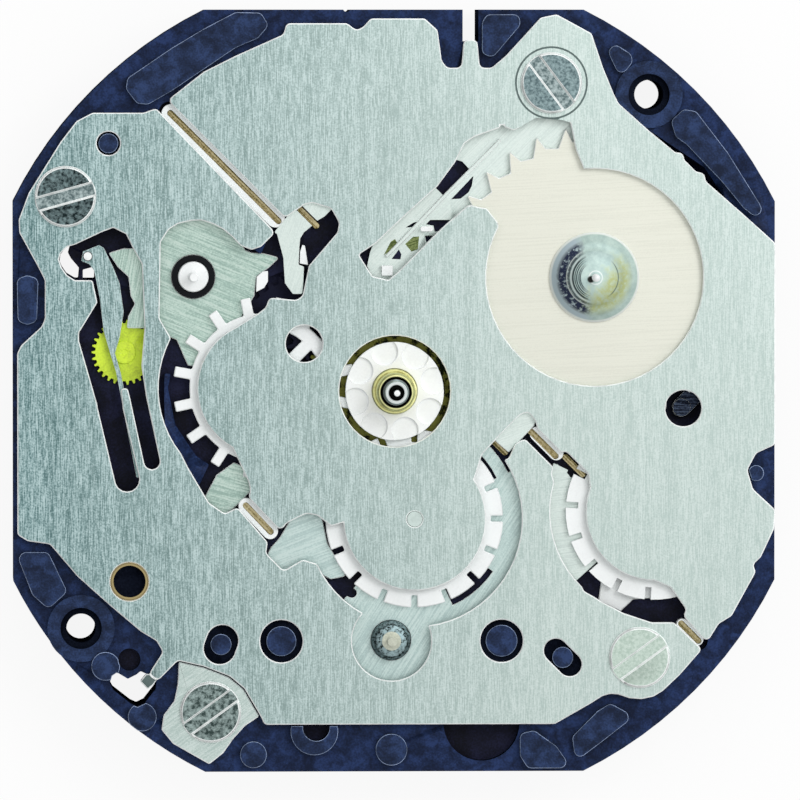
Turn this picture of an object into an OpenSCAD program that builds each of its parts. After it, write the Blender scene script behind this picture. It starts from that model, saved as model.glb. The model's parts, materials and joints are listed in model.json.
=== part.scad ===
/* [Movement] */
// Distance across the flats of the main plate
movement_flats = 24; // [23.8:0.1:26]
// Largest diameter of the main plate, over its round corners
movement_d = 26.8; // [26.4:0.1:28]

/* [Heights above the back face] */
// Thickness of the back cover
cover_t = 0.2; // [0.15:0.01:0.22]
// Thickness of the circuit board
board_t = 0.2; // [0.12:0.01:0.21]
// Thickness of the train bridge
bridge_t = 0.3; // [0.25:0.01:0.3]
// Roof of the pockets that open to the back
roof_z = 1.95; // [1.93:0.01:2]
// Floor of the deep pockets on the dial side, for the wheels of the motion work
deep_floor_z = 2.25; // [2.2:0.01:2.26]
// Floor of the shallow pockets on the dial side, for levers and index wheels
lever_floor_z = 2.44; // [2.42:0.01:2.45]
// Height of the open rim beside the dial-side plates
rim_z = 2.8; // [2.7:0.01:2.9]
// Height of the face that the dial-side plates lie on
seat_z = 2.92; // [2.9:0.01:3]
// Thickness of the two dial-side plates
plate_t = 0.2; // [0.12:0.01:0.24]
// How far the moulded pads rise above the open rim
pad_h = 0.26; // [0.1:0.01:0.35]

/* [Index wheels] */
// Number of teeth or slots on each index wheel
index_n = 16; // [10:1:20]
// Thickness of an index wheel
index_t = 0.18; // [0.12:0.01:0.2]
// Root radius of the toothed index wheel
star_root_r = 2.35; // [2.2:0.01:2.4]
// Tip radius of the toothed index wheel
star_tip_r = 2.87; // [2.6:0.01:2.9]
// Width of one tooth of the toothed index wheel
star_tooth_w = 0.32; // [0.2:0.01:0.4]
// Outer radius of the two slotted index wheels
slot_wheel_r = 2.8; // [2.6:0.01:2.82]
// Depth of the slots in the slotted index wheels
slot_depth = 0.39; // [0.2:0.01:0.42]
// Width of those slots
slot_w = 0.19; // [0.1:0.01:0.3]
// Radius of the studs that the index wheels turn on
stud_r = 0.25; // [0.18:0.01:0.3]

/* [Date wheel] */
// Number of saw teeth on the date wheel
date_n = 31; // [28:1:34]
// Tip radius of the date wheel
date_tip_r = 4.75; // [4.5:0.01:4.76]
// Root radius of the date wheel
date_root_r = 4.21; // [4.1:0.01:4.3]
// Thickness of the date wheel
date_t = 0.16; // [0.1:0.01:0.17]
// Radius of the turned hub at its foot
date_hub_r = 1.42; // [1.2:0.01:1.5]
// Height of the date hub's top face
date_hub_z = 3.62; // [3.3:0.01:3.8]

/* [Hand fits] */
// Outer radius of the brass hour pipe
hour_pipe_r = 0.6; // [0.55:0.01:0.65]
// Outer radius of the minute pipe
minute_pipe_r = 0.35; // [0.3:0.01:0.42]
// Radius of the seconds arbor
seconds_arbor_r = 0.1; // [0.08:0.01:0.14]
// Height of the top of the hour pipe
hour_pipe_z = 4.2; // [3.8:0.01:4.3]
// Height of the top of the minute pipe
minute_pipe_z = 4.65; // [4.4:0.01:4.8]
// Height of the top of the seconds arbor
seconds_arbor_z = 5.1; // [4.9:0.01:5.4]
// Radius of the arbor in the left sub-dial
left_arbor_r = 0.15; // [0.1:0.01:0.2]
// Height of the top of the left arbor
left_arbor_z = 3.75; // [3.4:0.01:4]
// Radius of the arbor in the bottom sub-dial
bottom_arbor_r = 0.15; // [0.1:0.01:0.2]
// Height of the top of the bottom arbor
bottom_arbor_z = 3.75; // [3.4:0.01:4]
// Radius of the date wheel's spindle
date_arbor_r = 0.12; // [0.08:0.01:0.18]
// Height of the top of the date spindle
date_arbor_z = 4.1; // [3.9:0.01:4.4]

/* [Train] */
// Thickness of the gear wheels
gear_t = 0.12; // [0.08:0.01:0.13]
// Teeth of the seconds wheel, driven by the fifth pinion
seconds_n = 40; // [36:1:44]
// Teeth of the third wheel, driven by the seconds pinion
third_n = 60; // [56:1:64]
// Teeth of the centre wheel, driven by the third pinion
centre_n = 64; // [60:1:68]
// Teeth of the fifth wheel, driven by the rotor pinion
fifth_n = 36; // [32:1:40]
// Leaves of the pinions on the seconds, third and fifth arbors
pinion_n = 8; // [8:1:10]
// Leaves of the rotor pinion
rotor_pinion_n = 6; // [6:1:8]
// Radius of the rotor's magnet
magnet_r = 0.65; // [0.5:0.01:0.7]
// Height of the rotor's magnet
magnet_h = 0.4; // [0.3:0.01:0.42]
// Radius of the train pivots
pivot_r = 0.08; // [0.06:0.01:0.1]

/* [Cell and circuit] */
// Diameter of the button cell
cell_d = 9.5; // [9:0.1:9.6]
// Height of the button cell
cell_h = 1.65; // [1.4:0.01:1.68]
// Length of the coil winding
coil_l = 7.2; // [6:0.1:7.6]
// Diameter of the coil winding
coil_d = 1.5; // [1.1:0.01:1.56]
// Diameter of the crystal's can
crystal_d = 1.2; // [1:0.01:1.3]
// Length of the crystal's can
crystal_l = 4.2; // [3.6:0.1:4.4]

/* [Winding stem] */
// Height of the stem's axis
stem_z = 1.15; // [1.1:0.01:1.18]
// Radius of the stem's bore
stem_bore_r = 0.45; // [0.35:0.01:0.55]
// Radius of the clutch pinion
clutch_r = 0.75; // [0.6:0.01:0.78]
// Length of the clutch pinion
clutch_l = 1.5; // [1.2:0.01:1.6]
// Travel of the clutch pinion between running and setting
clutch_travel = 0.5; // [0.3:0.01:0.6]

/* [Fasteners and dial feet] */
// Radius of the plate screws' heads
screw_head_r = 0.97; // [0.8:0.01:1]
// Height of the plate screws' heads
screw_head_h = 0.16; // [0.1:0.01:0.24]
// Radius of the plate screws' shanks
screw_shank_r = 0.42; // [0.3:0.01:0.5]
// Width of the screw slots
screw_slot_w = 0.42; // [0.2:0.01:0.5]
// Radius of the dial-foot holes
foot_hole_r = 0.46; // [0.35:0.01:0.5]
// Radius of the heads of the back screws
back_head_r = 0.85; // [0.7:0.01:0.9]
// Running clearance on a radius
run_gap = 0.02; // [0.01:0.005:0.03]
// Clearance round a fixed piece in its pocket
seat_gap = 0.05; // [0.03:0.01:0.06]

/* [Hidden] */
$fn = 64;

// Places of the axes, seen from the dial side with the stem on +X
index_at = [[-4.1, 0.1], [0.63, -4.03], [8.2, -3.8]];
date_at = [6.3, 3.58];
left_at = [-6.33, 3.6];
bottom_at = [-0.1, -7.87];
motion_at = [-2.85, 1.5];
third_at = [2.2, -0.7];
fifth_at = [-0.9, -1.96];
rotor_at = [-0.7, -3.74];
near_at = [2.18, 0.66];
green_at = [-8.5, 1.22];
cell_at = [-2, 6.8];
screw_at = [[-10.35, 6.13], [4.93, 9.7], [7.72, -8.4], [-5.8, -10.1]];
screw_turn = [15.5, -53, 36, 36];
foot_at = [[8.02, 9.33], [-9.87, -7.46]];
stud_hole_at = [[-9, 7.8], [-3.57, -7.87], [3.37, -7.87], [-5.47, -7.97], [5.3, -8.4]];
stud_top_r = [0.31, 0.47, 0.5, 0.33, 0.33];
release_at = [9.1, -0.55];
lever_pin_at = [10.2, 1.75];
yoke_pin_at = [7.1, -2.65];
back_screw_at = [[-9.6, 2.2], [4.6, 6.3], [9.9, -7.3], [-7.2, -10.4]];
coil_at = [-1, -9.15];

// Heights that follow from the driving ones
board_z = cover_t + 0.02;
bridge_z = 0.44;
bridge_top_z = bridge_z + bridge_t;
index_z = lever_floor_z + 0.22;
jumper_z = lever_floor_z + 0.02;
jumper_t = 0.12;
stop_z = jumper_z + jumper_t + 0.02;
date_z = index_z + 0.02;
plate_top_z = seat_z + plate_t;
seconds_z = 0.85;
third_z = seconds_z + gear_t + 0.11;
fifth_z = third_z + gear_t + 0.05;
centre_z = fifth_z + gear_t + 0.06;
motion_z = deep_floor_z + 0.03;
fifth_neck_r = 0.03;
hour_z = lever_floor_z + 0.03;
hour_n = 48;
hour_pinion_n = 8;
cannon_n = 18;
motion_n = 36;
setting_n = 20;

// Gear modules that fill the distances between the axes
third_d = norm(third_at);
seconds_pair_m = third_d * 2 / (pinion_n + third_n);
centre_pair_m = third_d * 2 / (pinion_n + centre_n);
fifth_pair_m = norm(fifth_at) * 2 / (pinion_n + seconds_n);
rotor_pair_m = norm(rotor_at - fifth_at) * 2 / (rotor_pinion_n + fifth_n);
motion_d = norm(motion_at);
cannon_pair_m = motion_d * 2 / (cannon_n + motion_n);
hour_pair_m = motion_d * 2 / (hour_pinion_n + hour_n);
setting_m = (norm(near_at) - cannon_n * cannon_pair_m / 2) * 2 / setting_n;

// Small sizes of single pieces
left_wheel_r = 1.5;
bottom_wheel_r = 1.1;
left_collar_r = 0.68;
left_hub_r = 0.48;
bottom_hub_r = 0.62;
side_bush_at = [-8.35, -5.98];
blade_pin_at = [-9.65, 4.25];
stop_pin_at = [-7.8, 3.3];
jumper_pin_at = [0.1, 4.25];
right_pin_at = [4.55, -4.2];
keyless_z = roof_z;
stator_z = 0.8;
stator_t = 0.22;
coil_z = 1.15;
coil_reach = coil_l / 2 + 0.85;
crystal_at = [7.6, -5.4];
crystal_z = board_z + board_t + 0.03 + crystal_d / 2;
chip_at = [7.4, -8.7];
chip_w = 2;
chip_h = 0.45;
bush_r = hour_pipe_r + 0.18;
bush_bore_r = minute_pipe_r + run_gap;
back_shank_r = 0.35;
cam_r = 1.55;
collar_r = hour_pipe_r + 0.1;
hour_seat_z = plate_top_z + 0.23;
cam_foot_r = 1.08;
green_n = 30;
green_r = 1.03;
far_at = near_at + setting_n * setting_m * [cos(13), sin(13)];
// Posts that stand on the floor of the shallow pockets: place, radius and height
posts = [[green_at, 0.16, jumper_z + 0.12], [blade_pin_at, 0.13, index_z + 0.24],
    [stop_pin_at, 0.15, jumper_z + 0.2], [jumper_pin_at, 0.18, jumper_z + 0.09],
    [right_pin_at, 0.2, jumper_z + 0.14]];
// Ends of the standing strips, and of the white guides round them with their widths
strip_w = 0.2;
strip_ends = [[[-7.05, 8.75], [-3.65, 5.35]], [[-2.95, 5.7], [-2.45, 5.2]], [[-4.68, -3.6], [-3.9, -4.43]],
    [[4.31, -1.29], [5.08, -2.06]], [[5.4, -2.1], [5.95, -2.65]], [[3.15, -1.6], [3.5, -1.95]],
    [[9.05, -7.35], [9.6, -7.9]]];
liner_ends = [[[-7.03, 8.73], [-3.75, 5.45], 0.6], [[-4.66, -3.62], [-3.92, -4.41], 0.5],
    [[4.5, -1.36], [5.1, -1.96], 0.46],
    [[9.1, -7.4], [9.55, -7.85], 0.4]];
magnet_z = 0.78;
clutch_x = 6.55;
yoke_tip_x = clutch_x + 0.775;
cell_z = cover_t + 0.01;

// A layer of the 2D shape between two heights
module slab(low, high) translate([0, 0, low]) linear_extrude(high - low) children();

// Rounds the outer and inner corners of a 2D shape
module soften(r = 0.1) offset(r = r, $fn = 16) offset(r = -2 * r, $fn = 16)
    offset(r = r, $fn = 16) children();

module at(p) translate([p[0], p[1], 0]) children();

module disc(p, r) translate(p) circle(r);

// Straight bar with round ends from a to b
module bar(a, b, w) {
    along = b - a;
    translate(a) rotate(atan2(along[1], along[0])) translate([0, -w / 2]) square([norm(along), w]);
    disc(a, w / 2);
    disc(b, w / 2);
}

// Pie slice of radius r between two angles less than 180 degrees apart
module slice(r, from, to) polygon([
    [0, 0],
    for (k = [0:6]) 1.2 * r * [cos(from + (to - from) * k / 6), sin(from + (to - from) * k / 6)]]);

module ring_part(p, r_in, r_out, from, to) translate(p) intersection() {
    difference() {
        circle(r_out);
        circle(r_in);
    }
    slice(r_out, from, to);
}

// Outline of the whole movement: four flats and four arcs
module movement_outline(inset = 0) intersection() {
    circle(movement_d / 2 - inset);
    square(movement_flats - 2 * inset, center = true);
}

// Spur gear outline with straight-flanked teeth that end a little short of the mating root
function gear_points(n, m) = [for (k = [0:n - 1], c = [[-0.29, -1], [-0.13, 0.8], [0.13, 0.8], [0.29, -1]])
    (n / 2 + c[1]) * m * [cos((k + c[0]) * 360 / n), sin((k + c[0]) * 360 / n)]];

module gear_2d(n, m, bore = 0) difference() {
    polygon(gear_points(n, m));
    if (bore > 0) circle(bore);
}

// Upper plate without its holes, from the slot at the upper left clockwise
upper_edge = [
    [-7.15, 9.15], [-6, 10.05], [-5, 10.55], [-4, 11], [-3.5, 11.22], [-3.4, 11.57], [-1.5, 11.57],
    [-1.2, 11.35], [-1, 11.45], [-0.75, 11.72], [0.95, 11.72], [1.35, 11.35], [1.48, 10.4], [1.65, 10.17],
    [2.1, 10.17], [2.17, 11.05], [2.6, 11.05], [2.68, 10.17], [3.05, 10.17], [3.5, 10.55], [4.6, 11.75],
    [5.1, 11.85], [6.2, 11.25], [6.55, 10.2], [6.9, 9.35], [7.05, 9.05], [8, 8.2], [8.85, 7.5], [9.1, 7.5],
    [9.1, 7.3], [9.5, 6.9], [9.75, 6.85], [9.8, 6.6], [11, 5.55], [12, 4.65], [12, -1.7], [11.4, -1.97],
    [11.12, -2.5], [11.3, -3.1], [12, -3.75], [11.97, -4.35], [11.55, -5.25], [11.28, -5.5], [11.4, -5.7],
    [10.63, -7.1], [10.22, -7.35], [9.85, -7.95], [9.1, -7.1], [9.2, -6.9], [8.7, -6.2], [8.2, -5.98],
    [7, -5], [6.15, -3], [6.1, -2.6], [5.38, -1.88], [5.25, -1.95], [4.5, -1.2], [4.43, -0.95],
    [4.2, -0.65], [3.95, -0.75], [3.4, -1.3], [2.75, -2],
    [2.5, -2.8], [-2, -4.25], [-2.45, -3.9], [-2.8, -3.85], [-3.4, -4.15], [-3.6, -4.4], [-4.6, -3.35],
    [-4.55, -3.1], [-4.6, -2.85], [-5.1, -1.78], [-5, 2.02], [-4.3, 2.45], [-4.05, 2.65], [-3.95, 2.95],
    [-3.1, 2.87], [-2.9, 3], [-2.7, 3.95], [-1.8, 5], [-1.75, 5.3], [-2, 5.75], [-2.6, 5.93], [-2.85, 5.87],
    [-3.45, 5.45]];

// Lower plate without its holes, from the slot at the upper left anticlockwise
lower_edge = [
    [-7.5, 8.9], [-7.9, 8.76], [-9.5, 8.76], [-10, 8.5], [-10.5, 7.85], [-11.5, 6.25], [-11.82, 5.4],
    [-11.8, 5], [-11.2, 3.9], [-11, 3.5], [-11, 2.3], [-11.1, 2.05], [-11.75, 1.45], [-11.87, 1.2],
    [-11.87, -4.5], [-11.55, -4.7], [-10.85, -4.8], [-10, -5.8], [-9, -6.7], [-8, -7.55], [-7.5, -7.85],
    [-7.3, -8.2], [-7.75, -8.9], [-7.45, -9.1], [-6.83, -8.47], [-6, -8.66], [-5.2, -8.97], [-4.74, -9.35],
    [-4.22, -10.24], [-4.1, -10.5], [5.05, -10.5], [5.66, -10.15], [6.19, -9.85], [6.55, -9.62],
    [6.8, -9.55], [7.05, -9.57], [7.4, -9.69], [7.78, -9.72], [8.16, -9.64], [8.45, -9.47], [9, -8.95],
    [9.7, -8.15], [8.8, -7.3], [8.1, -7.3], [7.2, -7], [5.95, -6.3], [4.95, -2.6], [5, -2.4], [4.1, -1.5],
    [3.8, -1.65], [3.6, -2.1], [-2.4, -5.45], [-2.9, -5.3], [-3.5, -5.65], [-4.05, -5.1], [-4, -4.75],
    [-4.95, -3.65], [-5.35, -3.85], [-5.85, -3.5], [-6.5, -2.4], [-7, -1.4], [-7.05, 1.7], [-7.4, 2.3],
    [-7.36, 4.7], [-7.1, 5.1], [-6.8, 5.28], [-6.4, 5.37], [-6.06, 5.38], [-5.7, 5.26], [-5.4, 5.1],
    [-5.1, 4.85], [-4.85, 4.58], [-4.5, 4.45], [-4.2, 4.55], [-3.8, 4.95],
    [-3.85, 5.1]];

module upper_field() intersection() {
    union() {
        soften(0.16) polygon(upper_edge);
        disc(index_at[0], 2.12);
        disc(index_at[1], 2.25);
        disc(index_at[2], 2.18);
    }
    movement_outline();
}

module lower_field() intersection() {
    difference() {
        soften(0.14) polygon(lower_edge);
        disc(index_at[0], 3.33);
        disc(index_at[1], 3.38);
        disc(index_at[2], 3.3);
        disc(bottom_at, 1.25);
    }
    movement_outline(0.12);
}

// Raised pads moulded on the rim
pad_edges = [
    [[-8.4, 9.85], [-7, 10.8], [-6, 11.4], [-5, 11.92], [-4.2, 11.9], [-3.95, 11.5], [-4.3, 11.1],
    [-5, 10.8],
        [-7, 9.45], [-7.75, 9.02], [-8.1, 9.05], [-8.45, 9.5]],
    [[2.75, 10.6], [3.1, 10.5], [3.95, 11.5], [3.95, 11.85], [2.9, 11.85], [2.75, 11.6]],
    [[6.7, 10.7], [6.95, 10.92], [7.45, 10.6], [7.5, 10.35], [7.1, 9.85]],
    [[8.7, 8.5], [9.1, 8.87], [9.5, 8.8], [10.5, 7.5], [11.5, 5.9], [11.9, 5.05], [11, 5.75], [10.3, 6.6],
        [9.2, 7.75], [8.85, 8]],
    [[-11.85, 2.2], [-11.55, 2.1], [-11.25, 2.2], [-11.2, 3.55], [-11.55, 3.66], [-11.88, 3.55]],
    [[-11.85, -5.25], [-11.7, -5.05], [-10.9, -5.05], [-10.3, -6.3], [-10.9, -6.85], [-11.4, -6.4]],
    [[3.95, -10.8], [4.4, -10.7], [5.1, -11.2], [5.6, -11.9], [4.2, -11.9], [3.95, -11.5]],
    [[5.6, -10.9], [6.4, -10.1], [6.8, -9.85], [7.35, -10.15], [7.4, -10.4], [6.5, -11.1], [5.7, -11.7]]];
pad_discs = [[-9.1, -8.65, 0.45], [-7.95, -10.25, 0.45], [-4.45, -11.45, 0.42], [-2.53, -10.72, 0.75],
    [-0.1, -11.3, 0.5], [11.4, -2.6, 0.25]];

// Slots and windows that go right through the plate
module through_windows() {
    soften(0.04) polygon([[-8.97, -9.2], [-8.9, -8.95], [-8.75, -8.85], [-8.4, -9.06], [-8.12, -8.92],
        [-8, -8.82], [-7.6, -9], [-7.5, -9.15], [-7.52, -9.38], [-7.87, -9.83], [-8.1, -9.94],
        [-8.3, -9.85], [-8.85, -9.42]]);
    soften(0.04) polygon([[-10.12, 4.64], [-10.35, 4.5], [-10.5, 4.3], [-10.53, 4.1], [-10.45, 3.9],
        [-10.3, 3.68], [-10.05, 3.53], [-9.93, 3.52], [-9.9, 3.85], [-10.02, 4], [-10.17, 4.17],
        [-10.25, 4.32], [-10.2, 4.5]]);
    soften(0.04) polygon([[-9.8, 3.82], [-9.5, 3.9], [-9.42, 3.85], [-9.42, 3.52], [-9.8, 3.52]]);
    translate([2.15, 11]) square([0.5, 1.2]);
    for (p = foot_at) disc(p, foot_hole_r);
    disc([-1.5, movement_flats / 2 + 0.05], 0.12);
}

// Room for the levers, claws, strips and index wheels below the dial-side plates
module shallow_pocket() soften(0.05) {
    disc(index_at[0], star_tip_r + 0.16);
    disc(index_at[1], 3.62);
    disc(index_at[2], slot_wheel_r + 0.2);
    ring_part(index_at[2], 2, 3.62, 140, 242);
    disc(date_at, date_tip_r + 0.15);
    disc([0, 0], 3);
    disc(bottom_at, 1.5);
    disc(left_at, 2.05);
    polygon([[-8.2, 2.6], [-7.75, 0.6], [-6.35, 0.5], [-5, 4.8], [-7.5, 5.3]]);
    polygon([[-5, 4.9], [-4.2, 4.3], [-3.75, 5.4], [-3.3, 6.4], [-1.7, 6.1], [-1.5, 4.9], [-2.5, 3.8],
        [-2.6, 2.6],
        [-4.5, 2.4]]);
    bar([-7.05, 8.75], [-3.3, 5], 0.75);
    bar([-4.8, -3.5], [-3.8, -4.55], 0.7);
    bar([-3.5, 6.1], [-2.2, 5.2], 0.5);
    bar([8.95, -7.25], [9.6, -7.9], 0.6);
    bar([4.15, -1.25], [6.05, -2.75], 0.7);
    polygon([[7, -5.5], [5.6, -6.2], [6.3, -6.8], [7.2, -7.15], [8.1, -7.4], [9, -7.35], [9.4, -6.9],
        [9, -6]]);
    polygon([[-5.6, -1.8], [-6.4, -3.5], [-5.2, -4.4], [-3.9, -5.9], [-2.4, -6], [-1.4, -3.9], [-3.8, -3],
        [-4.4, -1.8]]);
    polygon([[2.3, -0.9], [3.7, -0.2], [4.4, -0.3], [5, -0.9], [6.4, -2.4], [4.9, -3], [3.4, -2.6]]);
    polygon([[-1.5, 4.5], [-1.6, 3.7], [-0.6, 2.9], [0.6, 2.9], [3.4, 5], [6.1, 7.6], [5.8, 8.8],
        [4.7, 8.95], [3.4, 8.75], [2.1, 8.3],
        [1.5, 7.5], [0.9, 6.6], [-0.1, 5.75]]);
    bar(right_pin_at, right_pin_at + [0.8, 0.1], 1.2);
    lever_pocket();
}

// Room for the two long levers and the wheel at the left
module lever_pocket() soften(0.1) polygon([
    [-10.6, 4.7], [-10.5, 3.5], [-9.9, 3.2], [-10.25, 1.6], [-9.8, -0.4], [-9, -3.2], [-8.2, -3.4],
    [-7.2, -2.5],
    [-7.25, 0], [-7.2, 2.4], [-7.6, 4], [-8.2, 5.3], [-9, 5.4]]);

// Deeper room for the wheels of the motion work, the setting wheels and the two small hand wheels
module deep_pocket() {
    disc(motion_at, motion_n * cannon_pair_m / 2 + 0.2);
    disc([0, 0], cannon_n * cannon_pair_m / 2 + 0.25);
    disc(near_at, setting_n * setting_m / 2 + 0.2);
    disc(far_at, setting_n * setting_m / 2 + 0.2);
    disc(left_at, left_wheel_r + 0.12);
    disc(bottom_at, bottom_wheel_r + 0.12);
}

// Open recess of the setting lever and the yoke
module keyless_pocket() soften(0.05) {
    bar(lever_pin_at, [9.7, 0.15], 1.5);
    bar([9.7, 0.15], release_at, 1.5);
    bar(yoke_pin_at, [yoke_pin_at[0] + 0.1, 0.1], 0.95);
    bar([yoke_pin_at[0] - 0.35, -0.3], [yoke_pin_at[0] + 0.1, -0.3], 0.95);
}

module bridge_outline(grow = 0) soften(0.08) {
    bar([0, 0], third_at, 1.3 + 2 * grow);
    bar([0, 0], fifth_at, 1.3 + 2 * grow);
    bar(fifth_at, rotor_at, 1.3 + 2 * grow);
    bar(third_at, [3.8, 0.6], 1.1 + 2 * grow);
    bar(fifth_at, [-3.4, -1.2], 1.1 + 2 * grow);
    bar(rotor_at, [-2.9, -3.9], 1.1 + 2 * grow);
}

module stator_outline(grow = 0) soften(0.08) {
    disc(rotor_at, magnet_r + 0.52 + grow);
    bar(rotor_at + [-0.9, -0.35], [coil_at[0] - coil_reach, coil_at[1] + 0.5], 1 + 2 * grow);
    bar(rotor_at + [0.9, -0.35], [coil_at[0] + coil_reach, coil_at[1] + 0.5], 1 + 2 * grow);
    for (side = [-1, 1]) bar([coil_at[0] + side * coil_reach, coil_at[1] + 0.5],
        [coil_at[0] + side * coil_reach, coil_at[1] - 0.2], 1 + 2 * grow);
}

// The circuit board fills the lower right and runs below the coil
module board_outline(grow = 0) intersection() {
    movement_outline(0.75 - grow);
    union() {
        translate([4.6 - grow, -12]) square([8, 8.9 + grow]);
        translate([-6.4 - grow, -12]) square([12, 1.6 + grow]);
    }
}

// Back pockets: cell, train, stator, coil, crystal, chip and keyless work
module back_pockets() {
    slab(-1, roof_z) disc(cell_at, cell_d / 2 + seat_gap);
    slab(-1, roof_z) {
        disc([0, 0], centre_n * centre_pair_m / 2 + 0.13);
        disc(third_at, third_n * seconds_pair_m / 2 + 0.13);
        disc(fifth_at, fifth_n * rotor_pair_m / 2 + 0.16);
        disc(rotor_at, magnet_r + 0.3);
    }
    slab(-1, bridge_top_z) bridge_outline(seat_gap);
    slab(-1, stator_z + stator_t) stator_outline(seat_gap);
    translate([coil_at[0] - coil_l / 2 - 0.15, coil_at[1] - coil_d / 2 - 0.1, -1])
        cube([coil_l + 0.3, coil_d + 0.2, 1 + coil_z + coil_d / 2 + 0.1]);
    translate([coil_at[0] - coil_reach - 0.65, coil_at[1] - 0.75, -1])
        cube([2 * coil_reach + 1.3, 1.5, 1 + coil_z + 0.15]);
    slab(-1, bridge_z) board_outline(seat_gap);
    translate([crystal_at[0] - crystal_l / 2 - 0.1, crystal_at[1] - crystal_d / 2 - seat_gap, -1])
        cube([crystal_l + 0.2, crystal_d + 2 * seat_gap, 1 + crystal_z + crystal_d / 2 + 0.05]);
    slab(-1, board_z + board_t + chip_h + 0.1) translate(chip_at) square(chip_w + 0.2, center = true);
    translate([5.85, -clutch_r - 0.12, -1]) cube([2.6, 2 * clutch_r + 0.24, 1 + keyless_z]);
}

// Area that the two dial-side plates cover, with the slots between them
module plate_field() intersection() {
    movement_outline();
    offset(delta = -0.4) offset(delta = 0.4) {
        upper_field();
        lower_field();
    }
}

module main_plate() color([0.09, 0.11, 0.2]) difference() {
    union() {
        slab(cover_t, rim_z) movement_outline();
        slab(rim_z - 0.1, seat_z) plate_field();
        slab(rim_z - 0.1, rim_z + pad_h) difference() {
            intersection() {
                movement_outline();
                union() {
                    for (edge = pad_edges) soften(0.2) polygon(edge);
                    for (p = pad_discs) disc([p[0], p[1]], p[2]);
                }
            }
            offset(delta = seat_gap) plate_field();
        }
        for (p = foot_at) slab(rim_z - 0.1, rim_z + 0.14) disc(p, foot_hole_r + 0.6);
        for (k = [0:len(stud_hole_at) - 1])
            slab(rim_z - 0.1, plate_top_z - 0.05) disc(stud_hole_at[k], stud_top_r[k]);
    }
    difference() {
        slab(lever_floor_z, 5) shallow_pocket();
        for (post = posts) slab(0, post[2]) disc(post[0], post[1]);
    }
    slab(deep_floor_z, 5) difference() {
        deep_pocket();
        disc(motion_at, 0.16);
        disc(near_at, 0.3);
        disc(far_at, 0.3);
    }
    slab(keyless_z + 0.02, 5) difference() {
        keyless_pocket();
        disc(lever_pin_at, 0.3);
        disc(yoke_pin_at, 0.25);
    }
    slab(2.35, 5) disc([2.75, -10.35 - 0.12], 1.2);
    slab(2.5, 5) disc([-8.35, -8.45], 0.35);
    slab(2.5, 5) disc([-2.47, -10.6], 0.42);
    for (p = foot_at) slab(rim_z + 0.02, 5) disc(p, foot_hole_r + 0.19);
    slab(-1, 6) through_windows();
    back_pockets();
    // Stem bore and the slot that the setting lever's pin reaches through
    translate([8.2, 0, stem_z]) rotate([0, 90, 0]) cylinder(r = stem_bore_r, h = 5);
    slab(stem_z, 3) bar([9.4, 0.05], [9.95, 0.05], 0.5);
    // Centre bush, train pivots and hand arbors
    slab(1, 3) disc([0, 0], bush_r);
    for (p = [third_at, fifth_at, rotor_at]) slab(roof_z - 0.1, roof_z + 0.14) disc(p, pivot_r + run_gap);
    slab(roof_z + 0.12, 3) {
        disc(left_at, left_arbor_r + run_gap);
        disc(bottom_at, bottom_arbor_r + run_gap);
    }
    slab(roof_z + 0.12, 3) disc(date_at, date_arbor_r + run_gap);
    for (p = screw_at) slab(2.1, 4) disc(p, screw_shank_r);
    for (p = back_screw_at) slab(-1, 1.4) disc(p, back_shank_r);
}

// Holes of the upper plate
module upper_holes() {
    disc([0, 0], 1.75);
    disc(motion_at, 0.58);
    disc(release_at, 0.57);
    disc(index_at[1], stud_r);
    translate([3.315, 8.04]) square([0.13, 0.33]);
    difference() {
        union() {
            disc(date_at, 3.42);
            soften(0.08) polygon([[-1.13, 4.3], [-0.7, 3.62], [-0.2, 3.5], [0.1, 3.75], [1.5, 5.15],
                [2.3, 5.85],
                [2.9, 5.75], [3.25, 5.3], [3.4, 4.5], [6, 6.5], [5.95, 7], [5.7, 7.6], [5.53, 8.45],
                [5.3, 8.52], [4.45, 8.6], [3.75, 8.2], [3.4, 8.32], [2.5, 8], [2.2, 7.8], [1.9, 7.2],
                [1.35, 6.45], [0.3, 5.5], [-0.6, 4.65]]);
        }
        soften(0.08) polygon([[2, 5.55], [2.4, 5.86], [2.95, 5.7], [3.2, 5.3], [3.05, 4.8], [2.95, 4.4],
            [2, 4.4]]);
    }
    disc(screw_at[1], screw_shank_r + 0.1);
}

module upper_plate() color([0.78, 0.84, 0.82]) difference() {
    slab(seat_z, plate_top_z) difference() {
        upper_field();
        upper_holes();
    }
    // Fine ring scribed round the screw
    slab(plate_top_z - 0.02, 5) difference() {
        disc(screw_at[1], screw_head_r + 0.18);
        disc(screw_at[1], screw_head_r + 0.12);
    }
}

module lower_plate() color([0.74, 0.81, 0.79]) {
    lower_sheet();
    // Tongue that bends down beside the lower window
    slab(seat_z - 0.2, plate_top_z - 0.06)
        polygon([[-8.02, -9.13], [-7.84, -8.9], [-7.5, -8.88], [-7.42, -9], [-7.6, -9.24], [-7.78, -9.38]]);
}

module lower_sheet() slab(seat_z, plate_top_z) difference() {
    lower_field();
    disc(stud_hole_at[0], 0.37);
    disc(side_bush_at, 0.6);
    translate(stud_hole_at[3]) rotate(-20) resize_oval(1, 1.25);
    disc(stud_hole_at[1], 0.67);
    disc(stud_hole_at[2], 0.67);
    bar(stud_hole_at[4] + [-0.22, 0.22], stud_hole_at[4] + [0.22, -0.22], 0.75);
    for (p = [screw_at[0], screw_at[2], screw_at[3]]) disc(p, screw_shank_r + 0.1);
    soften(0.08) long_slots();
}

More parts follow.
